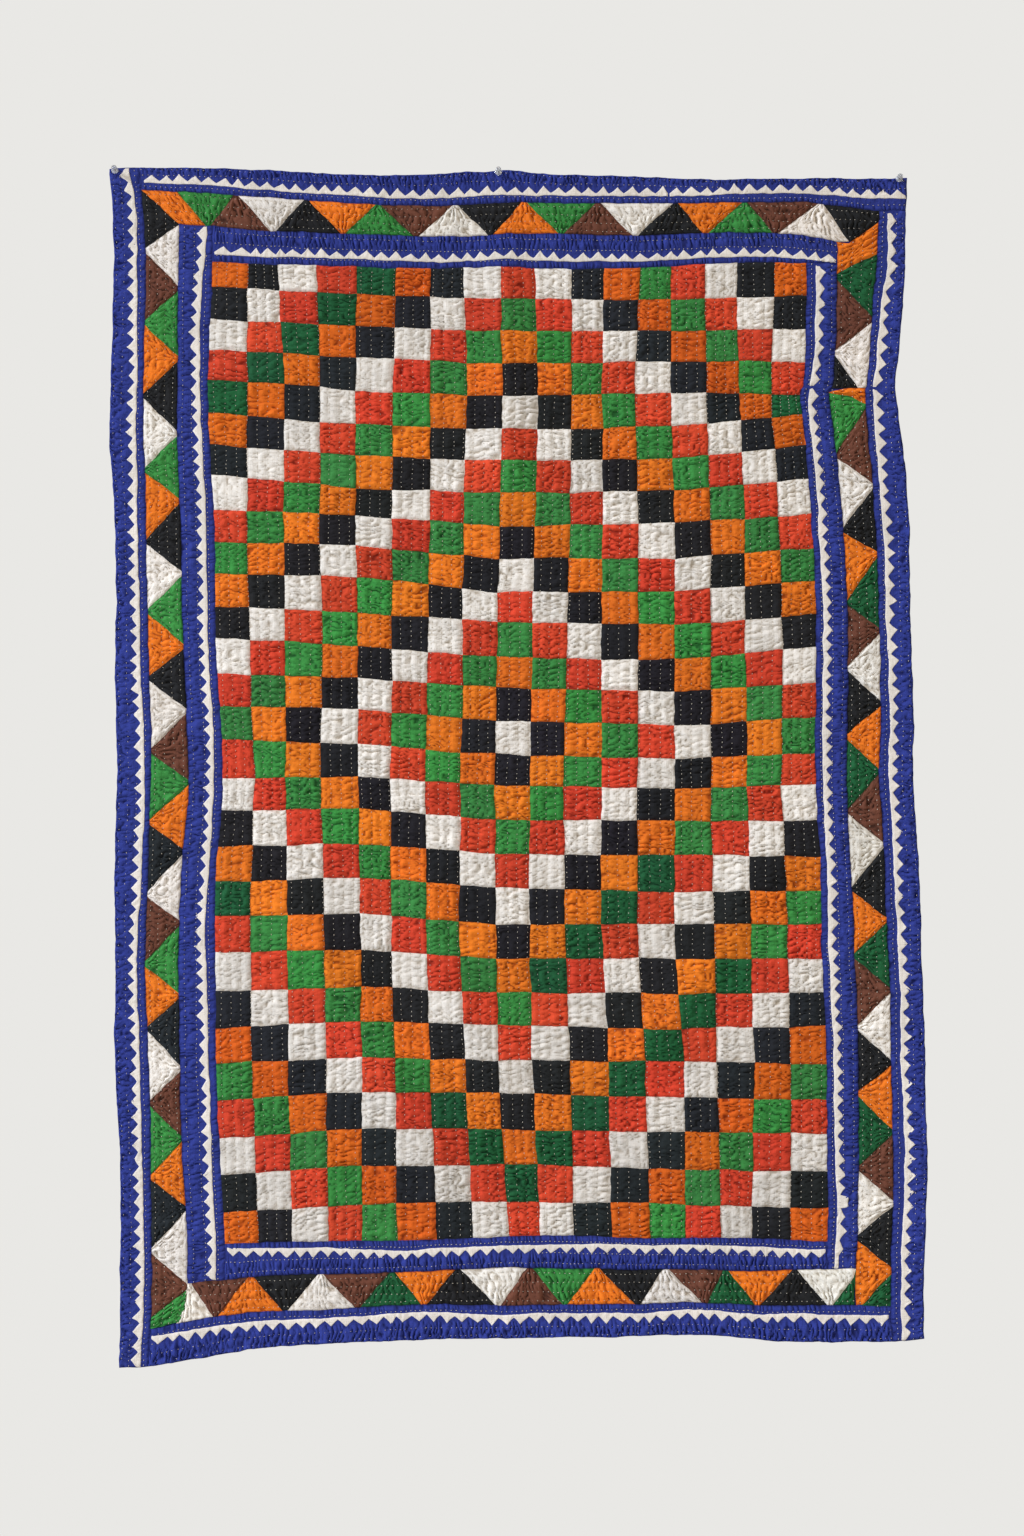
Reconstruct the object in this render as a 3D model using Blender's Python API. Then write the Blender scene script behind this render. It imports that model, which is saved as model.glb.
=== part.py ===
"""Ralli quilt hung flat on a wall from three push pins.

Frame: metres, +Z up. The wall is the plane y = 0 and the quilt hangs in front of it, facing -Y.
Origin: the point where the middle pin's needle enters the wall. Sizes below are in millimetres.
"""

import math

import bmesh
import bpy
from mathutils import Matrix, Vector

for old in list(bpy.data.objects):
    bpy.data.objects.remove(old, do_unlink=True)

MM = 0.001
QUILT_THICKNESS = 3.0  # two faces and a thin filling, quilted flat
STRIP_THICKNESS = 0.8  # one layer of white cotton with its edges turned under
GAP = 0.3  # between pieces
SEAM_GAP = 0.45  # along a seam's rungs, so that slanting seams keep the gap too
STATION = 75.0  # spacing of the rungs along every band
TOOTH_PITCH = 25.3
TOOTH_HEIGHT = 12.5
STRIP_SOLID = 7.5  # the strip's width below its teeth
STRIP_LIFT = 0.5  # off the band, so that its facets clear the band's where the cloth bows
JOG_TOP, JOG_FOOT = -372.0, -380.0  # a mis-sewn step in the right-hand seams

# Upright seams, left side: how far right of the middle pin each seam is at height z.
# hem, straight edge of the saw strip, seam to the triangles, seam to the inner band,
# straight edge of the inner saw strip, edge of the squares.
LEFT_SEAMS = ("z", "hem", "saw", "seam", "inner", "inner_saw", "field")
LEFT = (
    (12, -683, -649, -630, -562, -509, -500),
    (-28, -677, -637, -623, -562, -509, -500),
    (-60, -671, -630, -618, -562, -509, -500),
    (-120, -671, -632, -615, -558, -509, -499),
    (-220, -674, -632, -617, -561, -521, -502),
    (-330, -676, -630, -620, -560, -522, -508),
    (-450, -681, -634, -620, -563, -519, -507),
    (-555, -673, -630, -615, -558, -512, -499),
    (-660, -669, -630, -615, -554, -509, -494),
    (-770, -668, -626, -612, -553, -509, -496),
    (-885, -670, -625, -610, -548, -504, -491),
    (-995, -668, -619, -605, -543, -496, -482),
    (-1100, -667, -618, -609, -541, -498, -481),
    (-1215, -672, -623, -612, -555, -505, -495),
    (-1325, -671, -631, -617, -560, -514, -496),
    (-1435, -671, -632, -617, -559, -509, -494),
    (-1540, -674, -626, -611, -558, -507, -495),
    (-1655, -666, -625, -608, -556, -503, -490),
    (-1765, -661, -620, -608, -551, -500, -485),
    (-1870, -661, -620, -606, -543, -493, -477),
    (-1970, -661, -618, -604, -545, -493, -477),
    (-2086, -661, -625, -612, -560, -493, -477),
)
# Upright seams, right side, from the squares outwards.
RIGHT_SEAMS = ("z", "field", "inner_saw", "inner", "seam", "saw", "hem")
RIGHT = (
    (0, 536, 556, 595, 668, 679, 715),
    (-80, 536, 556, 595, 665, 680, 712),
    (-165, 539, 555, 591, 661, 681, 712),
    (-215, 538, 554, 591, 655, 669, 708),
    (-270, 537, 554, 591, 651, 665, 704),
    (-323, 537, 551, 589, 648, 661, 699),
    (-372, 533, 543, 584, 643, 654, 692),
    (-380, 526, 534, 576, 639, 648, 694),
    (-430, 531, 543, 584, 641, 655, 700),
    (-494, 539, 549, 592, 649, 661, 708),
    (-547, 542, 556, 597, 654, 665, 715),
    (-655, 550, 560, 605, 660, 674, 718),
    (-761, 555, 568, 610, 664, 675, 718),
    (-878, 555, 566, 611, 666, 681, 723),
    (-985, 552, 565, 609, 666, 683, 725),
    (-1039, 553, 566, 607, 662, 679, 722),
    (-1146, 558, 569, 611, 670, 687, 729),
    (-1236, 565, 575, 618, 674, 690, 735),
    (-1344, 563, 575, 621, 679, 696, 738),
    (-1451, 570, 582, 626, 684, 702, 741),
    (-1558, 574, 586, 629, 684, 701, 745),
    (-1648, 574, 586, 628, 687, 706, 746),
    (-1702, 574, 588, 629, 689, 710, 750),
    (-1809, 576, 591, 629, 688, 706, 746),
    (-1863, 575, 590, 628, 685, 702, 745),
    (-1970, 573, 580, 617, 683, 701, 740),
    (-2045, 573, 580, 617, 687, 703, 742),
)
# Level seams, top side: how high each seam is at x, from the hem inwards.
TOP_SEAMS = ("x", "hem", "saw", "seam", "inner", "inner_saw", "field")
TOP = (
    (-690, 9, -14, -26, -84, -138, -152),
    (-610, 11, -17, -29, -84, -138, -152),
    (-522, 11, -20, -33, -90, -140, -153),
    (-435, 7, -28, -41, -99, -147, -158),
    (-347, 2, -35, -47, -103, -148, -161),
    (-260, -3, -40, -52, -107, -150, -163),
    (-172, -4, -45, -58, -108, -154, -166),
    (-85, 0, -44, -57, -112, -156, -166),
    (-30, 6, -39, -51, -108, -153, -164),
    (0, 9, -37, -48, -105, -150, -163),
    (35, 5, -38, -50, -105, -151, -164),
    (90, -2, -40, -52, -105, -154, -166),
    (178, -3, -40, -53, -108, -155, -167),
    (265, -7, -41, -53, -110, -155, -166),
    (353, -13, -41, -53, -105, -149, -159),
    (440, -10, -36, -50, -103, -146, -156),
    (528, -8, -35, -49, -106, -149, -156),
    (615, -10, -42, -60, -124, -161, -168),
    (667, -9, -44, -65, -130, -165, -172),
    (715, -7, -45, -67, -130, -165, -172),
)
# Level seams, bottom side, from the squares outwards.
BOTTOM_SEAMS = ("x", "field", "inner_saw", "inner", "seam", "saw", "hem")
BOTTOM = (
    (-662, -1873, -1880, -1944, -2022, -2036, -2086),
    (-624, -1873, -1880, -1944, -2021, -2033, -2086),
    (-592, -1873, -1880, -1943, -2018, -2029, -2082),
    (-522, -1873, -1879, -1940, -2000, -2018, -2071),
    (-452, -1871, -1878, -1929, -1992, -2007, -2057),
    (-382, -1866, -1878, -1926, -1986, -2003, -2047),
    (-312, -1867, -1876, -1923, -1987, -1999, -2045),
    (-242, -1865, -1879, -1922, -1981, -1997, -2042),
    (-172, -1865, -1882, -1921, -1976, -1989, -2039),
    (-85, -1863, -1877, -1917, -1975, -1989, -2035),
    (0, -1858, -1874, -1910, -1979, -1994, -2036),
    (90, -1855, -1872, -1914, -1976, -1990, -2032),
    (178, -1858, -1870, -1914, -1976, -1991, -2034),
    (265, -1862, -1874, -1916, -1975, -1990, -2030),
    (353, -1860, -1871, -1915, -1970, -1983, -2028),
    (410, -1860, -1874, -1917, -1976, -1990, -2031),
    (440, -1860, -1876, -1918, -1980, -1993, -2040),
    (528, -1866, -1879, -1918, -1977, -1991, -2043),
    (615, -1867, -1880, -1913, -1977, -1994, -2041),
    (685, -1867, -1880, -1913, -1978, -1994, -2039),
    (745, -1867, -1880, -1913, -1978, -1994, -2035),
)
PINS = (  # name, x, z
    ("left", -670.0, 3.0),
    ("centre", 0.0, 0.0),
    ("right", 700.0, -12.0),
)


def seam_curve(rows, names, name):
    """A seam as a function of the distance along its side, straight between the table's rows."""
    column = names.index(name)
    knots = sorted((row[0], row[column]) for row in rows)

    def curve(s):
        if s <= knots[0][0]:
            return knots[0][1]
        for (s0, v0), (s1, v1) in zip(knots, knots[1:]):
            if s <= s1:
                return v0 + (v1 - v0) * (s - s0) / (s1 - s0)
        return knots[-1][1]

    return curve


UPRIGHT = {}
LEVEL = {}
for seam in LEFT_SEAMS[1:]:
    UPRIGHT["left", seam] = seam_curve(LEFT, LEFT_SEAMS, seam)
    UPRIGHT["right", seam] = seam_curve(RIGHT, RIGHT_SEAMS, seam)
    LEVEL["top", seam] = seam_curve(TOP, TOP_SEAMS, seam)
    LEVEL["bottom", seam] = seam_curve(BOTTOM, BOTTOM_SEAMS, seam)


def crossing(upright, level):
    """Where an upright and a level seam meet."""
    x, z = 0.0, 0.0
    for _ in range(12):
        x = UPRIGHT[upright](z)
        z = LEVEL[level](x)
    return x, z


def stand_off(x, z):
    """Gap between the wall and the back of the cloth: pinned flat, slack between the pins,
    lifting at the sides and at the foot."""
    span = (x - PINS[0][1]) / (PINS[1][1] - PINS[0][1]) if x < 0 else x / PINS[2][1]
    slack = 2.6 * (1 - math.cos(2 * math.pi * min(max(span, 0.0), 1.0)))
    slack *= 0.35 + 0.65 * math.exp(min(z, 0.0) / 500.0)
    below = min(max(-z / 350.0, 0.0), 1.0)
    swell = below * 1.6 * (1 + math.sin(x / 160.0 + z / 430.0))
    right = 9.0 * max((x - 430.0) / 310.0, 0.0) ** 2 * min(max(-z / 500.0, 0.0), 1.0)
    left = 3.5 * max((-x - 430.0) / 250.0, 0.0) ** 2 * (0.5 - 0.5 * math.cos(z / 240.0))
    foot = 8.0 * max((-z - 1650.0) / 430.0, 0.0) ** 2
    return 1.0 + slack + swell + right + left + foot


Z_STATIONS = (-220.0, -295.0, JOG_TOP, JOG_FOOT) + tuple(-455.0 - STATION * i for i in range(19))
X_STATIONS = tuple(-425.0 + STATION * i for i in range(13))


def upright_run(side, seam, first, last):
    """Points down an upright seam from one crossing to another, shared by the pieces it joins."""
    heads = ["hem", "seam", "inner", "field"]
    if seam in ("hem", "seam"):
        heads.remove("inner")
    here = (side, seam)
    stops = [(("top", h), crossing(here, ("top", h))) for h in heads]
    stops += [(None, (UPRIGHT[here](z), z)) for z in Z_STATIONS]
    stops += [
        (("bottom", h), crossing(here, ("bottom", h))) for h in ("field", "inner", "seam", "hem")
    ]
    keys = [key for key, _ in stops]
    return [p for _, p in stops[keys.index(first) : keys.index(last) + 1]]


def level_run(side, seam, first, last):
    """Points along a level seam, left to right, shared by the pieces it joins."""
    turns = ["hem", "seam", "inner", "field"]
    if side == "top" and seam in ("hem", "seam"):
        turns.remove("inner")
    here = (side, seam)
    stops = [(("left", t), crossing(("left", t), here)) for t in turns]
    stops += [(None, (x, LEVEL[here](x))) for x in X_STATIONS]
    stops += [(("right", t), crossing(("right", t), here)) for t in reversed(turns)]
    keys = [key for key, _ in stops]
    return [p for _, p in stops[keys.index(first) : keys.index(last) + 1]]


def toward(p, q, step):
    """p moved a step towards q."""
    length = math.dist(p, q)
    return (p[0] + (q[0] - p[0]) * step / length, p[1] + (q[1] - p[1]) * step / length)


def inset(rows):
    """Shrinks a grid of points by half the seam gap on every side."""
    half = SEAM_GAP / 2
    rows = [[toward(r[0], r[1], half)] + r[1:-1] + [toward(r[-1], r[-2], half)] for r in rows]
    first = [toward(p, q, half) for p, q in zip(rows[0], rows[1])]
    last = [toward(p, q, half) for p, q in zip(rows[-1], rows[-2])]
    return [first] + rows[1:-1] + [last]


def finish(name, bm, material):
    """Makes the named object from a bmesh in millimetres, with outward faces."""
    bmesh.ops.recalc_face_normals(bm, faces=bm.faces)
    bmesh.ops.scale(bm, vec=(MM, MM, MM), verts=bm.verts)
    mesh = bpy.data.meshes.new(name)
    bm.to_mesh(mesh)
    bm.free()
    mesh.materials.append(material)
    thing = bpy.data.objects.new(name, mesh)
    bpy.context.collection.objects.link(thing)
    return thing


def cloth_slab(name, rows, material):
    """A slab of quilt over a grid of points, back on the hanging surface, front towards -Y."""
    rows = inset(rows)
    bm = bmesh.new()
    back = [[bm.verts.new((x, -stand_off(x, z), z)) for x, z in row] for row in rows]
    front = [
        [bm.verts.new((x, -stand_off(x, z) - QUILT_THICKNESS, z)) for x, z in row] for row in rows
    ]
    m, n = len(rows), len(rows[0])
    for i in range(m - 1):
        for j in range(n - 1):
            for sheet in (back, front):
                a, b = sheet[i][j], sheet[i][j + 1]
                c, d = sheet[i + 1][j + 1], sheet[i + 1][j]
                bm.faces.new((a, b, c))
                bm.faces.new((a, c, d))
    rim = [(0, j) for j in range(n)] + [(i, n - 1) for i in range(1, m)]
    rim += [(m - 1, j) for j in range(n - 2, -1, -1)] + [(i, 0) for i in range(m - 2, 0, -1)]
    for (i0, j0), (i1, j1) in zip(rim, rim[1:] + rim[:1]):
        bm.faces.new((back[i0][j0], back[i1][j1], front[i1][j1], front[i0][j0]))
    return finish(name, bm, material)


def cloth(name, colour, rough=0.9):
    """A plain woven cotton."""
    material = bpy.data.materials.new(name)
    material.use_nodes = True
    shader = material.node_tree.nodes["Principled BSDF"]
    shader.inputs["Base Color"].default_value = (*colour, 1.0)
    shader.inputs["Roughness"].default_value = rough
    return material


BLUE = cloth("blue_cotton", (0.030, 0.047, 0.340))
WHITE = cloth("white_cotton", (0.720, 0.690, 0.630))
TRIANGLES = cloth("pieced_cotton", (0.330, 0.110, 0.035))
SQUARES = cloth("patched_cotton", (0.420, 0.160, 0.060))

# The middle: one panel of squares.
field_top = level_run("top", "field", ("left", "field"), ("right", "field"))
field_foot = level_run("bottom", "field", ("left", "field"), ("right", "field"))
field_left = upright_run("left", "field", ("top", "field"), ("bottom", "field"))
field_right = upright_run("right", "field", ("top", "field"), ("bottom", "field"))


def middle_rows():
    """A grid over the middle that meets all four of its seams (a Coons patch)."""
    (x0, z0), (x1, z1) = field_top[0], field_foot[-1]
    rows = []
    for j in range(len(field_left)):
        v = (field_left[j][1] - z0) / (field_left[-1][1] - z0)
        row = []
        for i in range(len(field_top)):
            u = (field_top[i][0] - x0) / (field_top[-1][0] - x0)
            point = []
            for k in (0, 1):
                sides = (1 - u) * field_left[j][k] + u * field_right[j][k]
                ends = (1 - v) * field_top[i][k] + v * field_foot[i][k]
                corners = (1 - u) * (1 - v) * field_top[0][k] + u * (1 - v) * field_top[-1][k]
                corners += (1 - u) * v * field_foot[0][k] + u * v * field_foot[-1][k]
                point.append(sides + ends - corners)
            row.append(tuple(point))
        rows.append(row)
    return rows


cloth_slab("field_panel", middle_rows(), SQUARES)

# Borders: (name, seam nearer the hem, seam nearer the middle, first crossings, last crossings).
# Left pieces run the full height, then top, right and foot pieces fill in, pinwheel fashion.
# The triangle bands meet in a mitre at the two top corners.
UPRIGHT_BANDS = (
    ("outer_band_left", "left", "hem", "seam", ("hem", "hem"), ("hem", "hem"), BLUE),
    ("outer_band_right", "right", "hem", "seam", ("seam", "seam"), ("hem", "hem"), BLUE),
    ("triangle_band_left", "left", "seam", "inner", ("seam", "inner"), ("seam", "seam"), TRIANGLES),
    ("triangle_band_right", "right", "seam", "inner", ("seam", "inner"), ("seam", "seam"), TRIANGLES),
    ("inner_band_left", "left", "inner", "field", ("inner", "inner"), ("inner", "inner"), BLUE),
    ("inner_band_right", "right", "inner", "field", ("field", "field"), ("inner", "inner"), BLUE),
)
LEVEL_BANDS = (
    ("outer_band_top", "top", "hem", "seam", ("seam", "seam"), ("hem", "hem"), BLUE),
    ("outer_band_bottom", "bottom", "hem", "seam", ("seam", "seam"), ("seam", "seam"), BLUE),
    ("triangle_band_top", "top", "seam", "inner", ("seam", "inner"), ("seam", "inner"), TRIANGLES),
    ("triangle_band_bottom", "bottom", "seam", "inner", ("inner", "inner"), ("inner", "inner"),
     TRIANGLES),
    ("inner_band_top", "top", "inner", "field", ("field", "field"), ("inner", "inner"), BLUE),
    ("inner_band_bottom", "bottom", "inner", "field", ("field", "field"), ("field", "field"), BLUE),
)
band_edges = {}
bands = {}
for name, side, outer, inner, first, last, material in UPRIGHT_BANDS:
    edges = [
        upright_run(side, seam, ("top", a), ("bottom", b))
        for seam, a, b in zip((outer, inner), first, last)
    ]
    band_edges[name] = edges
    bands[name] = cloth_slab(name, [list(pair) for pair in zip(*edges)], material)
for name, side, outer, inner, first, last, material in LEVEL_BANDS:
    edges = [
        level_run(side, seam, ("left", a), ("right", b))
        for seam, a, b in zip((outer, inner), first, last)
    ]
    band_edges[name] = edges
    bands[name] = cloth_slab(name, [list(pair) for pair in zip(*edges)], material)


# Saw strips: white cotton cut with teeth that point to the hem, lying on the face of a band.
def face_of_band(edges, point):
    """Distance from the wall to a band's face at a point, from the corners of the facet there."""

    def weights(p, q, r):
        area = (q[0] - p[0]) * (r[1] - p[1]) - (q[1] - p[1]) * (r[0] - p[0])
        b = ((point[0] - p[0]) * (r[1] - p[1]) - (point[1] - p[1]) * (r[0] - p[0])) / area
        c = ((q[0] - p[0]) * (point[1] - p[1]) - (q[1] - p[1]) * (point[0] - p[0])) / area
        return 1 - b - c, b, c

    rungs = list(zip(*edges))
    facets = []
    for (outer, inner), (next_outer, next_inner) in zip(rungs, rungs[1:]):
        facets += [(outer, inner, next_inner), (outer, next_inner, next_outer)]
    facet = max(facets, key=lambda corners: min(weights(*corners)))
    depth = sum(w * stand_off(*corner) for w, corner in zip(weights(*facet), facet))
    return depth + QUILT_THICKNESS


def saw_strip(name, band, curve, axis, start, end, outward):
    """A strip from start to end along its side; outward is the sign of the teeth's direction."""
    edges = band_edges[band]
    teeth = round(abs(end - start) / TOOTH_PITCH)
    step = (end - start) / teeth

    def place(s, off):
        value = curve(s) + outward * off
        return (s, value) if axis == 0 else (value, s)

    plain = [start + step * i for i in range(0, teeth, 2)] + [end]
    outline = [place(s, 0.0) for s in plain]
    outline += [
        place(start + step * i / 2, STRIP_SOLID + (TOOTH_HEIGHT if i % 2 else 0.0))
        for i in range(2 * teeth, -1, -1)
    ]
    bm = bmesh.new()
    lift = [face_of_band(edges, p) + STRIP_LIFT for p in outline]
    back = [bm.verts.new((x, -y, z)) for (x, z), y in zip(outline, lift)]
    front = [bm.verts.new((x, -y - STRIP_THICKNESS, z)) for (x, z), y in zip(outline, lift)]
    n, m = len(outline), len(plain)
    for ring in (back, front):
        valleys = [ring[m + 2 * k] for k in range(teeth + 1)][::-1]
        tips = [ring[m + 2 * k + 1] for k in range(teeth)][::-1]
        feet = ring[:m]
        for k in range(teeth):
            bm.faces.new((valleys[k], valleys[k + 1], tips[k]))
            foot = feet[k // 2] if k % 2 == 0 else feet[(k + 1) // 2]
            bm.faces.new((valleys[k], valleys[k + 1], foot))
        for k in range(m - 1):
            bm.faces.new((feet[k], feet[k + 1], valleys[min(2 * k + 1, teeth)]))
    for i in range(n):
        j = (i + 1) % n
        bm.faces.new((back[i], back[j], front[j], front[i]))
    return finish(name, bm, WHITE)


def corner(side, seam, level):
    return crossing((side, seam), level)


saw_strip("outer_saw_left", "outer_band_left", UPRIGHT["left", "saw"], 1,
          corner("left", "saw", ("top", "hem"))[1] - 1,
          corner("left", "saw", ("bottom", "hem"))[1] + 1, -1)
saw_strip("outer_saw_top", "outer_band_top", LEVEL["top", "saw"], 0,
          corner("left", "seam", ("top", "saw"))[0] + 4,
          corner("right", "hem", ("top", "saw"))[0] - 1, 1)
saw_strip("outer_saw_right", "outer_band_right", UPRIGHT["right", "saw"], 1,
          corner("right", "saw", ("top", "seam"))[1] - 3,
          corner("right", "saw", ("bottom", "hem"))[1] + 1, 1)
saw_strip("outer_saw_bottom", "outer_band_bottom", LEVEL["bottom", "saw"], 0,
          corner("left", "seam", ("bottom", "saw"))[0] + 3,
          corner("right", "seam", ("bottom", "saw"))[0] - 3, -1)
saw_strip("inner_saw_left", "inner_band_left", UPRIGHT["left", "inner_saw"], 1,
          corner("left", "inner_saw", ("top", "inner"))[1] - 1,
          corner("left", "inner_saw", ("bottom", "inner"))[1] + 1, -1)
saw_strip("inner_saw_top", "inner_band_top", LEVEL["top", "inner_saw"], 0,
          corner("left", "field", ("top", "inner_saw"))[0] + 3,
          corner("right", "inner", ("top", "inner_saw"))[0] - 1, 1)
saw_strip("inner_saw_right", "inner_band_right", UPRIGHT["right", "inner_saw"], 1,
          corner("right", "inner_saw", ("top", "field"))[1] - 3,
          corner("right", "inner_saw", ("bottom", "inner"))[1] + 1, 1)
saw_strip("inner_saw_bottom", "inner_band_bottom", LEVEL["bottom", "inner_saw"], 0,
          corner("left", "field", ("bottom", "inner_saw"))[0] + 3,
          corner("right", "field", ("bottom", "inner_saw"))[0] - 3, -1)

# Push pins: a turned grip of clear plastic on a steel needle, pushed in with the head tilted up.
PIN_TILT = math.radians(12.0)
NEEDLE_RADIUS = 0.6
NEEDLE_REACH = 8.0  # how deep the needle goes into the wall
NEEDLE_TIP = 2.5  # the length of its tapered point
SOCKET_DEPTH = 7.0
COLLAR_START = 2.6  # from the cloth's face to the collar, along the needle
GRIP_PROFILE = (  # radius, distance from the collar's face
    (6.0, 0.0),
    (6.2, 0.5),
    (6.1, 1.4),
    (4.6, 2.3),
    (3.0, 3.6),
    (2.6, 6.0),
    (3.1, 8.2),
    (4.3, 9.6),
    (4.7, 10.6),
    (4.5, 11.5),
    (3.6, 12.0),
)
SIDES = 16

clear = cloth("clear_plastic", (0.90, 0.91, 0.92), 0.08)
clear.node_tree.nodes["Principled BSDF"].inputs["Transmission Weight"].default_value = 1.0
steel = cloth("pin_steel", (0.62, 0.62, 0.63), 0.3)
steel.node_tree.nodes["Principled BSDF"].inputs["Metallic"].default_value = 1.0


def turned(name, profile, material, place):
    """A body turned from (radius, distance) pairs; a radius of 0 closes an end to a point."""
    bm = bmesh.new()
    rings = []
    for radius, distance in profile:
        if radius == 0:
            rings.append([bm.verts.new((0, 0, distance))])
            continue
        ring = []
        for k in range(SIDES):
            turn = 2 * math.pi * k / SIDES
            ring.append(bm.verts.new((radius * math.cos(turn), radius * math.sin(turn), distance)))
        rings.append(ring)
    for a, b in zip(rings, rings[1:]):
        for k in range(SIDES):
            j = (k + 1) % SIDES
            corners = [a[k], a[j]] if len(a) > 1 else [a[0]]
            corners += [b[j], b[k]] if len(b) > 1 else [b[0]]
            bm.faces.new(corners)
    bmesh.ops.transform(bm, matrix=place, verts=bm.verts)
    return finish(name, bm, material)


def bored(band, place, radius, reach):
    """Cuts a needle's hole through a band."""
    cutter = turned("cutter", ((0, -reach), (radius, -reach), (radius, reach), (0, reach)), steel, place)
    cutter.hide_render = True
    cutter.display_type = "WIRE"
    hole = band.modifiers.new("needle_hole", "BOOLEAN")
    hole.operation = "DIFFERENCE"
    hole.solver = "EXACT"
    hole.object = cutter
    bpy.context.view_layer.objects.active = band
    bpy.ops.object.modifier_apply(modifier=hole.name)
    bpy.data.objects.remove(cutter, do_unlink=True)


for name, x, z in PINS:
    face = stand_off(x, z) + QUILT_THICKNESS
    # The needle's axis leaves the wall at (x, 0, z) and points out and up.
    place = Matrix.Translation(Vector((x, 0.0, z))) @ Matrix.Rotation(math.pi / 2 - PIN_TILT, 4, "X")
    collar = face / math.cos(PIN_TILT) + COLLAR_START
    bore = NEEDLE_RADIUS + GAP / math.cos(math.pi / SIDES)
    profile = [(0, collar + SOCKET_DEPTH), (bore, collar + SOCKET_DEPTH), (bore, collar)]
    profile += [(r, collar + d) for r, d in GRIP_PROFILE] + [(0, collar + GRIP_PROFILE[-1][1])]
    turned("pin_grip_" + name, profile, clear, place)
    needle = (
        (0, -NEEDLE_REACH),
        (NEEDLE_RADIUS, NEEDLE_TIP - NEEDLE_REACH),
        (NEEDLE_RADIUS, collar + SOCKET_DEPTH - GAP),
        (0, collar + SOCKET_DEPTH - GAP),
    )
    turned("pin_needle_" + name, needle, steel, place)
    band = bands["outer_band_left" if name == "left" else "outer_band_top"]
    bored(band, place, bore, 3 * face)
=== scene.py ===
"""Ralli quilt: a hand-quilted patchwork hung flat from three push pins.

Lengths in this file are in millimetres unless a name says otherwise. The quilt hangs in front of
the plane y = 0 and faces -Y; x runs to the right and z up, from the middle pin.
"""

import math

import bpy
import numpy as np
from mathutils import Matrix, Vector


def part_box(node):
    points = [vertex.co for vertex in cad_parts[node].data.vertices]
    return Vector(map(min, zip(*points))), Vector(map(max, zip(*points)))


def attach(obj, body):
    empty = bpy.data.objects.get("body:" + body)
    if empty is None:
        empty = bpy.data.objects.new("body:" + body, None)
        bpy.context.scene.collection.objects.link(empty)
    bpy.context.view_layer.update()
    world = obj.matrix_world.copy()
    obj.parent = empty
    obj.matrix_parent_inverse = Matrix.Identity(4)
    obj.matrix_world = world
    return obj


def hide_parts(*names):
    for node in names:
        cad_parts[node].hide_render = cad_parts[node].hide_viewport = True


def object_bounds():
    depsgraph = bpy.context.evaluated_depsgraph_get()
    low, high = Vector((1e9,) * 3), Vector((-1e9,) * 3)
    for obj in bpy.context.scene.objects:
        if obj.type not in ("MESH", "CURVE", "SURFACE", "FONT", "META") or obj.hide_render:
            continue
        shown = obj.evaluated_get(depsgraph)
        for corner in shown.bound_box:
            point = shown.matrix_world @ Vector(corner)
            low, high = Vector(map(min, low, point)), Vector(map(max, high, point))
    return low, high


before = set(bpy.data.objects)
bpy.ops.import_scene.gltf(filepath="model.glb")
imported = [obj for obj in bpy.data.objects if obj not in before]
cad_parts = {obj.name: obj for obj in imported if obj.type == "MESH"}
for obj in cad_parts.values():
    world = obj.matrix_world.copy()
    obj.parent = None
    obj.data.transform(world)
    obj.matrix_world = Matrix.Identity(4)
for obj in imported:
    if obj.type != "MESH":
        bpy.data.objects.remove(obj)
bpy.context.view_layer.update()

# ---------------------------------------------------------------------------------------------
# Back of the quilt: one plain blue cotton sheet the size of the whole quilt. The filling and the
# pieced top are laid on it, its edges are folded over to the front as the hem, and the running
# stitches that go through all the layers show on it as rows of short dashes.
QUILT_THICKNESS = 3.0
BACK_STEP = 14.0
ROUGH_WIDTH, ROUGH_HEIGHT, ROUGH_LEFT = 1400, 2090, -690
BACK_ROWS_APART, BACK_STITCH_APART = 17.2, 8.2
# BLUE_DEEP is the colour of painted shade, in part dust, in the blue creases.
BLUE_BACK, BLUE_DEEP = "#27338C", "#151C5A"
PIN_X, PIN_Z = (-670.0, 0.0, 700.0), (3.0, 0.0, -12.0)


def hang(x, z):
    """Distance from the wall to the back of the quilt: pinned flat, slack between the pins,
    lifting at the sides and at the foot."""
    span = np.where(x < 0, (x - PIN_X[0]) / (PIN_X[1] - PIN_X[0]), x / PIN_X[2])
    slack = 2.6 * (1 - np.cos(2 * np.pi * np.clip(span, 0, 1)))
    slack *= 0.35 + 0.65 * np.exp(np.minimum(z, 0) / 500)
    swell = np.clip(-z / 350, 0, 1) * 1.6 * (1 + np.sin(x / 160 + z / 430))
    right = 9 * np.maximum((x - 430) / 310, 0) ** 2 * np.clip(-z / 500, 0, 1)
    left = 3.5 * np.maximum((-x - 430) / 250, 0) ** 2 * (0.5 - 0.5 * np.cos(z / 240))
    foot = 8 * np.maximum((-z - 1650) / 430, 0) ** 2
    return 1 + slack + swell + right + left + foot


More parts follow.
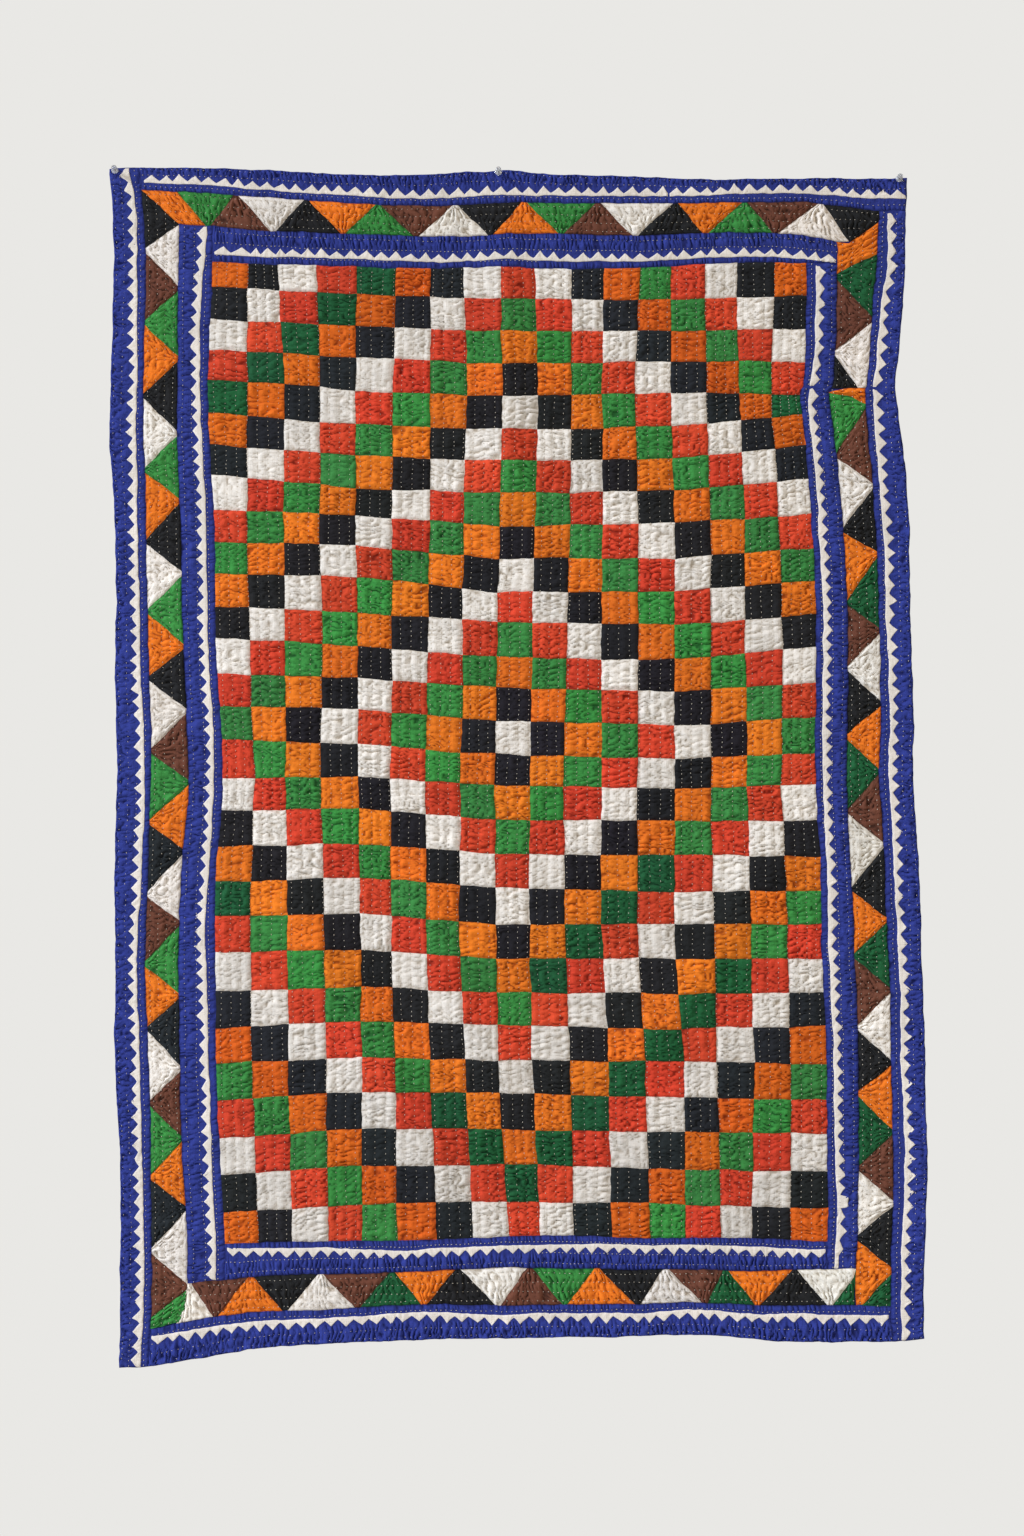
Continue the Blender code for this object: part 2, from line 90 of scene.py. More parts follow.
def seam_line(nodes, along, pick, breaks=()):
    """A seam as a function: the lowest or highest place across some CAD bands, read every 4 mm
    along them and evened out over 50 mm, but not across a break."""
    across = 2 - along
    starts, ends = [], []
    for name in nodes:
        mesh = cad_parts[name].data
        points = np.array([vertex.co[:] for vertex in mesh.vertices]) * 1000
        edges = np.array([edge.vertices[:] for edge in mesh.edges])
        starts.append(points[edges[:, 0]])
        ends.append(points[edges[:, 1]])
    a, b = np.concatenate(starts), np.concatenate(ends)
    places = np.arange(a[:, along].min() + 1.5, a[:, along].max() - 1.5, 4.0)
    values = []
    for place in places:
        hit = (a[:, along] - place) * (b[:, along] - place) < 0
        p, q = a[hit], b[hit]
        t = (place - p[:, along]) / (q[:, along] - p[:, along])
        values.append(pick(p[:, across] + (q[:, across] - p[:, across]) * t))
    # A place that falls in the slit between two bands reads wrong, so three are compared.
    values = np.median([values[:-2], values[1:-1], values[2:]], axis=0)
    places = places[1:-1]
    # Past a corner the line turns off along the next side, so its ends are cut back to there.
    gentle = np.flatnonzero(np.abs(np.diff(values)) < 2.0)
    places, values = (a[gentle[0] : gentle[-1] + 2] for a in (places, values))
    even = values.copy()
    cuts = [-1e9, *sorted(breaks), 1e9]
    for low, high in zip(cuts, cuts[1:]):
        part = np.flatnonzero((places > low) & (places < high))
        for i in part:
            reach = min(6, i - part[0], part[-1] - i)
            even[i] = values[i - reach : i + reach + 1].mean()
    return lambda s: np.interp(s, places, even)


def outline(nodes, breaks=()):
    """The seams on the four outer sides of some CAD pieces."""
    return {
        "left": seam_line(nodes, 2, np.min),
        "right": seam_line(nodes, 2, np.max, breaks),
        "top": seam_line(nodes, 0, np.max),
        "bottom": seam_line(nodes, 0, np.min),
    }


SIDES = ("left", "top", "right", "bottom")
OUTER_BANDS, TRIANGLE_BANDS, INNER_BANDS = (
    tuple(kind + "_band_" + side for side in SIDES) for kind in ("outer", "triangle", "inner")
)
JOG = (-376.0,)  # the mis-sewn step in the right-hand seams
HEM = outline(OUTER_BANDS)
SEAM = {
    "left": seam_line(("outer_band_left",), 2, np.max),
    "right": seam_line(("outer_band_right",), 2, np.min, JOG),
    "top": seam_line(TRIANGLE_BANDS, 0, np.max),
    "bottom": seam_line(TRIANGLE_BANDS, 0, np.min),
}
INNER = outline(INNER_BANDS, JOG)
FIELD = outline(("field_panel",), JOG)


def noise(x, y, seed):
    """Smooth gradient noise from about -1 to 1, with a lattice of one unit."""
    x, y = np.broadcast_arrays(np.asarray(x, float), np.asarray(y, float))
    ix, iy = np.floor(x).astype(np.int64), np.floor(y).astype(np.int64)
    fx, fy = x - ix, y - iy

    def pull(dx, dy):
        h = (ix + dx) * 374761393 + (iy + dy) * 668265263 + seed * 974711
        h = (h ^ (h >> 13)) * 1274126177 & 0xFFFFFFFF
        turn = ((h ^ (h >> 16)) & 0xFFFF) * (2 * np.pi / 65536)
        return np.cos(turn) * (fx - dx) + np.sin(turn) * (fy - dy)

    ux, uy = fx * fx * (3 - 2 * fx), fy * fy * (3 - 2 * fy)
    low = pull(0, 0) * (1 - ux) + pull(1, 0) * ux
    high = pull(0, 1) * (1 - ux) + pull(1, 1) * ux
    return (low * (1 - uy) + high * uy) * 1.5


# Main folds, soft and uneven: x and z where each starts and ends, height, reach to each side.
MAIN_FOLDS = (
    (10.0, -30.0, 30.0, -680.0, 8.0, 38.0),
    (-385.0, -1210.0, -55.0, -1850.0, 8.5, 40.0),
    (-170.0, -1200.0, 40.0, -1690.0, 7.5, 38.0),
    (540.0, -1120.0, 200.0, -1620.0, 7.0, 38.0),
)


def main_folds(x, z):
    """Height of the main folds over the hang of the cloth."""
    height = 0.0
    for seed, (x0, z0, x1, z1, rise, reach) in enumerate(MAIN_FOLDS):
        length = math.hypot(x1 - x0, z1 - z0)
        share = ((x - x0) * (x1 - x0) + (z - z0) * (z1 - z0)) / length**2
        away = ((x - x0) * (z1 - z0) - (z - z0) * (x1 - x0)) / length
        away = away + 12 * noise(share * 4, 0.5, seed + 95)
        fade = np.clip(4 * share, 0, 1) * np.clip(4 * (1 - share), 0, 1)
        height = height + rise * fade * fade * (3 - 2 * fade) * np.exp(-((away / reach) ** 2))
    return height


def place(x, z, lift):
    """Points of cloth at x and z, lifted off the back, in metres. Hand sewing leaves no seam
    quite straight, so everything is shifted a little by one drift that all pieces share."""
    dx = 1.6 * noise(x / 38, z / 38, 5) + 0.9 * noise(x / 12, z / 12, 6)
    dz = 1.6 * noise(x / 38, z / 38, 7) + 0.9 * noise(x / 12, z / 12, 8)
    for pin_x, pin_z in zip(PIN_X, PIN_Z):
        lift = lift * (1 - 0.5 * np.exp(-(((x - pin_x) / 16) ** 2) - ((z - pin_z) / 16) ** 2))
    return np.stack([x + dx, -(hang(x, z) + main_folds(x, z) + lift), z + dz], -1) / 1000


def sewn(name, patches, material, nodes, facing=-1):
    """One piece from patches of cloth. A patch is (points, hollow, tint, uv): a grid of points,
    how deep each lies in a crease, one colour shift, and its place in the quilting."""
    points, hollows, tints, uvs, quads, first = [], [], [], [], [], 0
    for grid, hollow, tint, uv in patches:
        rows, columns = grid.shape[:2]
        index = first + np.arange(rows * columns).reshape(rows, columns)
        ring = [index[:-1, :-1], index[:-1, 1:], index[1:, 1:], index[1:, :-1]]
        a, b, d = grid[:-1, :-1], grid[:-1, 1:], grid[1:, :-1]
        if np.cross(b - a, d - a)[..., 1].sum() * facing < 0:
            ring.reverse()
        quads.append(np.stack(ring, -1).reshape(-1, 4))
        points.append(grid.reshape(-1, 3))
        hollows.append(np.broadcast_to(hollow, (rows, columns)).ravel())
        tints.append(np.tile((*tint, 1.0), (rows * columns, 1)))
        uvs.append(np.zeros((rows * columns, 2)) if uv is None else uv.reshape(-1, 2))
        first += rows * columns
    points, quads = np.concatenate(points), np.concatenate(quads)
    mesh = bpy.data.meshes.new(name)
    mesh.from_pydata(points.tolist(), [], quads.tolist())
    mesh.attributes.new("hollow", "FLOAT", "POINT").data.foreach_set(
        "value", np.concatenate(hollows)
    )
    mesh.attributes.new("tint", "FLOAT_COLOR", "POINT").data.foreach_set(
        "color", np.concatenate(tints).ravel()
    )
    mesh.uv_layers.new(name="quilting").data.foreach_set(
        "uv", np.concatenate(uvs)[quads.ravel()].ravel()
    )
    mesh.polygons.foreach_set("use_smooth", [True] * len(quads))
    mesh.materials.append(material)
    piece = bpy.data.objects.new(name, mesh)
    bpy.context.collection.objects.link(piece)
    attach(piece, "root")
    if nodes:
        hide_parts(*nodes)
    return piece


def linear(hex_colour):
    """An sRGB hex colour as linear red, green and blue."""
    parts = [int(hex_colour[i : i + 2], 16) / 255 for i in (1, 3, 5)]
    return tuple(p / 12.92 if p <= 0.04045 else ((p + 0.055) / 1.055) ** 2.4 for p in parts)


def add(tree, kind, inputs=(), **settings):
    """Adds a node. An input is given a value, or another node's output to link."""
    made = tree.nodes.new(kind)
    for key, value in settings.items():
        setattr(made, key, value)
    for key, value in dict(inputs).items():
        if isinstance(value, bpy.types.NodeSocket):
            tree.links.new(value, made.inputs[key])
        else:
            made.inputs[key].default_value = value
    return made


def speckle(tree, where, size, detail):
    """Noise with lumps of this size in millimetres."""
    inputs = {"Vector": where, "Scale": 1000 / size, "Detail": detail}
    return add(tree, "ShaderNodeTexNoise", inputs).outputs["Fac"]


def ranged(tree, value, low, high, start=0.3, end=0.7):
    """A value between start and end, turned into one between low and high."""
    inputs = {0: value, 1: start, 2: end, 3: low, 4: high}
    return add(tree, "ShaderNodeMapRange", inputs).outputs["Result"]


def reckon(tree, operation, *values):
    """The result of one step of arithmetic."""
    made = add(tree, "ShaderNodeMath", dict(enumerate(values)), operation=operation)
    return made.outputs["Value"]


def begin(name):
    """A new material, its node tree and shader, and the place on the object."""
    material = bpy.data.materials.new(name)
    material.use_nodes = True
    tree = material.node_tree
    where = add(tree, "ShaderNodeTexCoord").outputs["Object"]
    return material, tree, tree.nodes["Principled BSDF"], where


def cotton(name, colour, wrinkle, shade_and_wear, deep, dashes=None):
    """Plain-woven cotton, hand dyed and washed many times: matt, with uneven dye and slubs in
    the thread. Ridges are painted paler and creases painted darker, toward the deep colour: painted
    highlight and painted shade, in part also wear and dust. dashes is the colour of stitches seen
    on it."""
    material, tree, shader, where = begin(name)
    hollow = add(tree, "ShaderNodeAttribute", attribute_name="hollow").outputs["Fac"]
    tint = add(tree, "ShaderNodeAttribute", attribute_name="tint").outputs["Color"]

    # Dye takes unevenly over a hand's breadth: patches 60 mm across.
    shades = [ranged(tree, speckle(tree, where, 60, 3.0), 0.92, 1.08)]
    # Slubs: thread-wise streaks 12 mm long and 1.2 mm apart, coarser than thread to show.
    for stretch in ((1000 / 12, 300.0, 1000 / 1.3), (1000 / 1.3, 300.0, 1000 / 12)):
        turned = add(tree, "ShaderNodeMapping", {"Vector": where, "Scale": stretch})
        slub = speckle(tree, turned.outputs["Vector"], 1000, 1.0)
        shades.append(ranged(tree, slub, 0.95, 1.05))
    # Painted shade and highlight: creases darker and ridges paler, in part also dust and wear.
    shades.append(ranged(tree, hollow, 1.0 + shade_and_wear, 1.0 - shade_and_wear, 0.0, 1.0))
    shade = shades[0]
    for other in shades[1:]:
        shade = reckon(tree, "MULTIPLY", shade, other)
    # Painted shade: deeper in a crease the colour goes toward the deep colour, in part also dust.
    depth = ranged(tree, hollow, 0.0, 0.7, 0.3, 0.95)
    dyed = add(
        tree,
        "ShaderNodeMix",
        {"Factor": depth, "A": (*linear(colour), 1.0), "B": (*linear(deep), 1.0)},
        data_type="RGBA",
    )
    base = add(
        tree,
        "ShaderNodeVectorMath",
        {0: tint, 1: dyed.outputs["Result"]},
        operation="MULTIPLY",
    ).outputs["Vector"]
    shaded = add(tree, "ShaderNodeVectorMath", {0: base, "Scale": shade}, operation="SCALE")
    shown = shaded.outputs["Vector"]
    if dashes:
        # Rows lie on whole numbers of u; a stitch fills a third of each whole step of v.
        uv = add(tree, "ShaderNodeUVMap", uv_map="quilting").outputs["UV"]
        parts = add(tree, "ShaderNodeSeparateXYZ", {"Vector": uv})
        row = reckon(tree, "PINGPONG", parts.outputs["X"], 1.0)
        near = reckon(tree, "LESS_THAN", row, 0.035)
        step = reckon(tree, "FRACT", parts.outputs["Y"])
        down = reckon(tree, "LESS_THAN", step, 0.34)
        mixed = add(
            tree,
            "ShaderNodeMix",
            {
                "Factor": reckon(tree, "MULTIPLY", near, down),
                "A": shown,
                "B": (*linear(dashes), 1.0),
            },
            data_type="RGBA",
        )
        shown = mixed.outputs["Result"]
    tree.links.new(shown, shader.inputs["Base Color"])

    # Fine creasing 5 mm across, and a plain weave drawn at 1.5 mm where the thread is 0.5 mm.
    rumple = add(
        tree,
        "ShaderNodeTexNoise",
        {"Vector": where, "Scale": 1000 / 5.5, "Detail": 3.0, "Roughness": 0.55},
    )
    rumple = add(
        tree,
        "ShaderNodeBump",
        {"Height": rumple.outputs["Fac"], "Strength": wrinkle, "Distance": 0.0022},
    )
    last = rumple
    for direction in ("X", "Z"):
        thread = add(
            tree,
            "ShaderNodeTexWave",
            {"Vector": where, "Scale": 0.314 * 1000 / 1.5 / 2, "Distortion": 1.5, "Detail": 1.0},
            bands_direction=direction,
        )
        last = add(
            tree,
            "ShaderNodeBump",
            {
                "Height": thread.outputs["Fac"],
                "Strength": 0.25,
                "Distance": 0.0003,
                "Normal": last.outputs["Normal"],
            },
        )
    tree.links.new(last.outputs["Normal"], shader.inputs["Normal"])
    shader.inputs["Roughness"].default_value = 0.9
    shader.inputs["Specular IOR Level"].default_value = 0.25
    return material


def spread(low, high, step, fine_low=False, fine_high=False):
    """Places from low to high at about a step, closer together at an edge that is rolled."""
    fine = (0.0, 0.15, 0.6, 1.4, 2.6, 4.5)
    start = [low + f for f in fine] if fine_low else [low]
    end = [high - f for f in reversed(fine)] if fine_high else [high]
    count = max(1, round((end[0] - start[-1]) / step))
    middle = np.linspace(start[-1], end[0], count + 1)[1:-1]
    return np.array([*start, *middle, *end])


def hem_gap(x, z):
    """Distance in from the quilt's outline."""
    sides = (x - HEM["left"](z), HEM["right"](z) - x, HEM["top"](x) - z, z - HEM["bottom"](x))
    return np.maximum(np.minimum.reduce(sides), 0)


# Shares across and down the sheet, drawn in to the hem on all four sides.
u = spread(0.0, 1.0, BACK_STEP / ROUGH_WIDTH)[None, :]
v = spread(0.0, 1.0, BACK_STEP / ROUGH_HEIGHT)[:, None]
x, z = u * ROUGH_WIDTH + ROUGH_LEFT, -v * ROUGH_HEIGHT
for _ in range(8):
    x = HEM["left"](z) * (1 - u) + HEM["right"](z) * u
    z = HEM["top"](x) * (1 - v) + HEM["bottom"](x) * v
row = (x - ROUGH_LEFT) / BACK_ROWS_APART
puff = np.abs(np.sin(np.pi * row)) ** 0.7 * np.clip(hem_gap(x, z) / 8, 0, 1)
back_lift = -0.9 * puff - 0.5 * np.clip(hem_gap(x, z) / 8, 0, 1) * noise(x / 24, z / 9, 3)
back_uv = np.stack([row, z / BACK_STITCH_APART + 0.37 * np.floor(row + 0.5)], -1)
quilt_back = sewn(
    "quilt_back",
    [(place(x, z, back_lift), 0.4, (1, 1, 1), back_uv)],
    cotton("blue cotton backing", BLUE_BACK, 0.3, 0.1, BLUE_DEEP, dashes="#CFC8B8"),
    (),
    facing=1,
)

# ---------------------------------------------------------------------------------------------
# Middle: 17 by 29 cotton squares, white, black, orange, green and red in turn, so that each
# colour makes a diamond round the centre square. They are seamed together by hand, then quilted
# through with rows of running stitch 17 mm apart that pucker the cloth between them.
COLUMNS, ROWS = 17, 29
ROWS_OF_STITCH = 3.53  # per square
SQUARE_DOWN = 26  # steps of mesh down a square
SQUARE_WIDTH, SQUARE_HEIGHT = 61, 59  # about, as they differ
FIELD_PITCH = 10.6  # from pucker to pucker
CENTRE_COLUMN, CENTRE_ROW = 8, 14
# name: what it is, colour, wrinkle, painted shade and wear, colour of painted shade and dust in the
# creases
COTTONS = {
    "white": ("unbleached white cotton", "#EEE8DD", 0.45, 0.05, "#B3A38B"),
    "black": ("black-dyed cotton", "#1E1F20", 0.3, 0.12, "#0B0C0D"),
    "orange": ("orange-dyed cotton", "#EA791E", 0.5, 0.1, "#943608"),
    "green": ("green-dyed cotton", "#3A8C40", 0.5, 0.12, "#114A1E"),
    "red": ("red-dyed cotton", "#D8472A", 0.5, 0.1, "#7C170A"),
    "dark_green": ("bottle-green cotton", "#1C5C34", 0.5, 0.12, "#082E19"),
    "brown": ("brown-dyed cotton", "#6B4030", 0.3, 0.12, "#301A12"),
}
RING = ("white", "black", "orange", "green", "red")
# Squares cut from a darker green cotton, by column and row.
DARK_GREEN = {(4, 0), (3, 1), (2, 2), (1, 3), (0, 4), (16, 4), (0, 19)}
DARK_GREEN |= {(12, 18), (11, 19), (10, 20), (9, 21), (14, 21), (13, 22), (12, 23), (11, 24)}
DARK_GREEN |= {(10, 25), (9, 26), (8, 27), (7, 26), (6, 25)}
# The squares aren't all one size. Seams between columns: where they are at each of these rows.
COLUMN_SEAMS = (
    (0, -438, -386, -317, -248, -179, -118, -62, 3, 63, 128, 184, 248, 301, 361, 417, 483),
    (4, -439, -373, -311, -249, -184, -119, -54, 8, 70, 127, 181, 238, 301, 363, 419, 475),
    (8, -438, -376, -313, -250, -186, -121, -61, 2, 64, 126, 183, 244, 308, 370, 430, 489),
    (12, -436, -372, -308, -246, -186, -123, -63, -3, 58, 119, 180, 244, 308, 371, 431, 497),
    (16, -426, -371, -311, -245, -189, -127, -66, -7, 54, 113, 180, 243, 308, 371, 435, 494),
    (20, -434, -369, -304, -241, -187, -126, -69, -4, 54, 117, 180, 243, 306, 376, 440, 505),
    (24, -431, -367, -301, -239, -181, -120, -59, -1, 59, 126, 193, 256, 324, 383, 447, 510),
    (29, -419, -361, -297, -238, -176, -108, -45, 18, 73, 132, 198, 266, 328, 389, 442, 510),
)
# Seams between rows: how low they are at the left edge, x = -248, 3, 304 and the right edge.
ROW_SEAMS = (
    (198, 212, 220, 222, 213),
    (255, 268, 276, 277, 273),
    (309, 322, 334, 329, 330),
    (360, 380, 389, 384, 387),
    (418, 440, 447, 443, 422),
    (474, 493, 502, 500, 475),
    (527, 549, 560, 555, 534),
    (588, 598, 617, 612, 595),
    (644, 651, 673, 673, 656),
    (701, 705, 732, 731, 712),
    (758, 768, 785, 790, 770),
    (811, 826, 845, 850, 828),
    (874, 882, 899, 907, 891),
    (932, 937, 957, 966, 951),
    (988, 998, 1016, 1024, 1013),
    (1057, 1056, 1071, 1076, 1068),
    (1114, 1109, 1130, 1132, 1131),
    (1177, 1171, 1190, 1191, 1195),
    (1238, 1230, 1249, 1256, 1254),
    (1298, 1294, 1313, 1311, 1313),
    (1361, 1358, 1372, 1372, 1374),
    (1429, 1421, 1432, 1434, 1432),
    (1495, 1480, 1489, 1495, 1490),
    (1556, 1545, 1549, 1553, 1557),
    (1622, 1604, 1608, 1615, 1620),
    (1687, 1668, 1671, 1676, 1679),
    (1751, 1735, 1731, 1741, 1744),
    (1816, 1802, 1796, 1802, 1808),
)
rng = np.random.default_rng(20)
corner_x = np.zeros((ROWS + 1, COLUMNS + 1))
corner_z = np.zeros((ROWS + 1, COLUMNS + 1))
seam_rows = [line[0] for line in COLUMN_SEAMS]
for c in range(1, COLUMNS):
    corner_x[:, c] = np.interp(range(ROWS + 1), seam_rows, [line[c] for line in COLUMN_SEAMS])
corner_x[1:-1, 1:-1] += rng.uniform(-1.3, 1.3, (ROWS - 1, COLUMNS - 1))
for r in range(ROWS + 1):
    if 0 < r < ROWS:
        levels = [-low for low in ROW_SEAMS[r - 1]]
    else:
        side = FIELD["top" if r == 0 else "bottom"]
        levels = [float(side(at)) for at in (-495, -248, 3, 304, 535)]
    corner_x[r, 0] = FIELD["left"](levels[0])
    corner_x[r, -1] = FIELD["right"](levels[4])
    marks = [corner_x[r, 0], -248, 3, 304, corner_x[r, -1]]
    corner_z[r] = np.interp(corner_x[r], marks, levels)
corner_z[1:-1, 1:-1] += rng.uniform(-1.5, 1.5, (ROWS - 1, COLUMNS - 1))
corner_z[0] = FIELD["top"](corner_x[0])
corner_z[-1] = FIELD["bottom"](corner_x[-1])

CREASED = {"white": 1.05, "black": 0.9}
square_cotton = np.empty((ROWS, COLUMNS), object)
for r in range(ROWS):
    for c in range(COLUMNS):
        ring = abs(c - CENTRE_COLUMN) + abs(r - CENTRE_ROW)
        name = "dark_green" if (c, r) in DARK_GREEN else RING[ring % 5]
        square_cotton[r, c] = name
square_gather = np.vectorize(lambda name: CREASED.get(name, 1.3))(square_cotton)
square_gather = square_gather * rng.uniform(0.75, 1.25, square_gather.shape)
square_lean = rng.choice([-1, 1], square_gather.shape)
square_lean = square_lean * rng.uniform(0.35, 1.1, square_gather.shape)


def quilting(row, along, pitch, lean, gather, seed):
    """Relief of quilted cloth: it puffs between rows of stitch and puckers across them.
    row counts the rows, and along is the way down them in millimetres."""
    gap = np.abs(np.sin(np.pi * row))
    slant = along + lean * (5 * row + 17 * np.abs(row % 2 - 1))
    phase = slant / pitch + 1.1 * noise(row * 0.5, along / 26, seed)
    phase = phase + 0.7 * noise(row * 1.3 + 7.7, along / 12, seed + 1)
    fold = 2 * np.abs(np.sin(np.pi * phase)) ** 0.8 - 1.15
    fold = fold * (1.0 + 0.6 * noise(row * 0.6, along / 34, seed + 2))
    fine = noise(row * 2.8 + along / 17, slant / (0.4 * pitch), seed + 3)
    lump = 1.3 * noise(row * 0.55, along / 19, seed + 5)
    puff = gap**0.7 * (1.3 + 0.8 * noise(row, along / 25, seed + 4))
    return puff + lump + gather * (2.6 * fold + 1.2 * fine) * (0.4 + 0.6 * gap)


def sunk(edge, reach=2.6):
    """How far the cloth dips at a seam that is this far away: 1 in the seam, 0 clear of it."""
    return np.exp(-((edge / reach) ** 2))


def face(relief, dip):
    """Lift of the quilt's face: its relief, never very deep, and the dip of its seams."""
    return QUILT_THICKNESS - 1.0 + np.maximum(relief, -1.7) * (1 - dip) - 0.7 * dip


def field_surface(across, down):
    """x, z, lift and hollow of the squares, across counted in columns and down in rows."""
    c = np.clip(np.floor(across).astype(int), 0, COLUMNS - 1)
    r = np.clip(np.floor(down).astype(int), 0, ROWS - 1)
    s, t = across - c, down - r
    x, z = [
        (a[r, c] * (1 - s) + a[r, c + 1] * s) * (1 - t)
        + (a[r + 1, c] * (1 - s) + a[r + 1, c + 1] * s) * t
        for a in (corner_x, corner_z)
    ]
    at_left = corner_x[r, 0] * (1 - t) + corner_x[r + 1, 0] * t
    at_right = corner_x[r, -1] * (1 - t) + corner_x[r + 1, -1] * t
    x = x + np.where(c == 0, (FIELD["left"](z) - at_left) * (1 - s), 0)
    x = x + np.where(c == COLUMNS - 1, (FIELD["right"](z) - at_right) * s, 0)
    at_top = corner_z[0, c] * (1 - s) + corner_z[0, c + 1] * s
    at_foot = corner_z[-1, c] * (1 - s) + corner_z[-1, c + 1] * s
    z = z + np.where(r == 0, (FIELD["top"](x) - at_top) * (1 - t), 0)
    z = z + np.where(r == ROWS - 1, (FIELD["bottom"](x) - at_foot) * t, 0)
    relief = quilting(
        across * ROWS_OF_STITCH + 0.5, z, FIELD_PITCH, square_lean[r, c], square_gather[r, c], 20
    )
    aside, level = np.minimum(s, 1 - s) * SQUARE_WIDTH, np.minimum(t, 1 - t) * SQUARE_HEIGHT
    dip = sunk(np.minimum(aside, level))
    # The hollow sets painted shade in the creases and seams, through the cloth's colour.
    return x, z, face(relief, dip), np.clip(0.52 - 0.27 * relief + 0.4 * dip, 0, 1)


# The mesh has a column on each row of stitch, four between them, and one on each seam.
stitch_rows = (np.arange(int(COLUMNS * ROWS_OF_STITCH)) + 0.5) / ROWS_OF_STITCH
marks = np.unique(np.concatenate([stitch_rows, np.arange(COLUMNS + 1)]))
columns = [marks[:1]]
for low, high in zip(marks, marks[1:]):
    columns.append(np.linspace(low, high, 1 + max(1, round((high - low) / 0.068)))[1:])
columns = np.concatenate(columns)
column_seam = np.searchsorted(columns, np.arange(COLUMNS + 1) - 1e-9)
down = np.linspace(0, ROWS, ROWS * SQUARE_DOWN + 1)[:, None]
across, down = np.broadcast_arrays(columns[None, :], down)
# Each square takes its bend from its own side of a seam, so the shared edge is read once here.
x, z, lift, hollow = field_surface(across, down)
middle = place(x, z, lift)
# Blacks are from several cloths: bluer in one ring, browner in others.
BLACK_RINGS = {1: (1.1, 1.0, 1.25), 6: (0.9, 0.85, 1.0), 16: (1.1, 1.35, 1.45)}
BLACK_RINGS[21] = (1.0, 1.1, 1.1)
REDDER_ORANGE = (0.86, 0.71, 0.72)  # the oranges past ring 12, darker and redder
squares = {name: [] for name in (*RING, "dark_green")}
for r in range(ROWS):
    for c in range(COLUMNS):
        part = np.s_[
            r * SQUARE_DOWN : (r + 1) * SQUARE_DOWN + 1,
            column_seam[c] : column_seam[c + 1] + 1,
        ]
        name = square_cotton[r, c]
        tint = np.full(3, rng.uniform(0.86, 1.06)) * (1, rng.uniform(0.86, 1.1), 1)
        if name == "white":
            darker_to_foot = np.interp(r, (14, 28), (1.0, 0.86))  # whites darker towards the foot
            tint = np.full(3, rng.uniform(0.92, 1.02) * darker_to_foot)
        ring = abs(c - CENTRE_COLUMN) + abs(r - CENTRE_ROW)
        if name == "black":
            tint = tint * BLACK_RINGS.get(ring, (1, 1, 1))
        if name == "orange" and ring > 12:
            tint = tint * REDDER_ORANGE
        squares[name].append((middle[part], hollow[part], tint, None))
CLOTH = {name: cotton(*kind) for name, kind in COTTONS.items()}
for name, patches in squares.items():
    sewn("squares_" + name, patches, CLOTH[name], ("field_panel",))

# ---------------------------------------------------------------------------------------------
# Blue bands: ultramarine cotton strips seamed round the squares and again round the triangles.
# Stitch rows run along them, so they pucker across; the outer ones end in the folded hem.
BLUE = "#2E3B8B"
BLUE_CLOTH = cotton("ultramarine-dyed cotton", BLUE, 0.7, 0.12, BLUE_DEEP)
# name: upright, outer seam, inner seam, end seams, stitch rows from the outer seam in mm,
# pitch of the puckers, lean, gather, seed
OUTER_ROWS, INNER_ROWS = (7.0, 22.0, 38.0, 54.0), (9.0, 26.0, 45.0)
OUTER_WIDTH, INNER_WIDTH = 65.0, 55.0
BANDS = {
    "outer_band_left": (True, HEM["left"], SEAM["left"], HEM["top"], HEM["bottom"], OUTER_ROWS,
                        10.5, 0.9, 1.35, 31),
    "outer_band_right": (True, HEM["right"], SEAM["right"], SEAM["top"], HEM["bottom"], OUTER_ROWS,
                         10.5, 0.9, 1.35, 37),
    "outer_band_top": (False, HEM["top"], SEAM["top"], SEAM["left"], HEM["right"], OUTER_ROWS,
                       9.0, 0.15, 1.4, 41),
    "outer_band_bottom": (False, HEM["bottom"], SEAM["bottom"], SEAM["left"], SEAM["right"],
                          OUTER_ROWS, 10.0, 0.15, 1.5, 43),
    "inner_band_left": (True, INNER["left"], FIELD["left"], INNER["top"], INNER["bottom"],
                        INNER_ROWS, 10.0, 0.9, 1.35, 47),
    "inner_band_right": (True, INNER["right"], FIELD["right"], FIELD["top"], INNER["bottom"],
                         INNER_ROWS, 10.0, 0.9, 1.35, 53),
    "inner_band_top": (False, INNER["top"], FIELD["top"], FIELD["left"], INNER["right"],
                       INNER_ROWS, 8.5, 0.15, 1.45, 59),
    "inner_band_bottom": (False, INNER["bottom"], FIELD["bottom"], FIELD["left"], FIELD["right"],
                          INNER_ROWS, 8.5, 0.15, 1.45, 61),
}


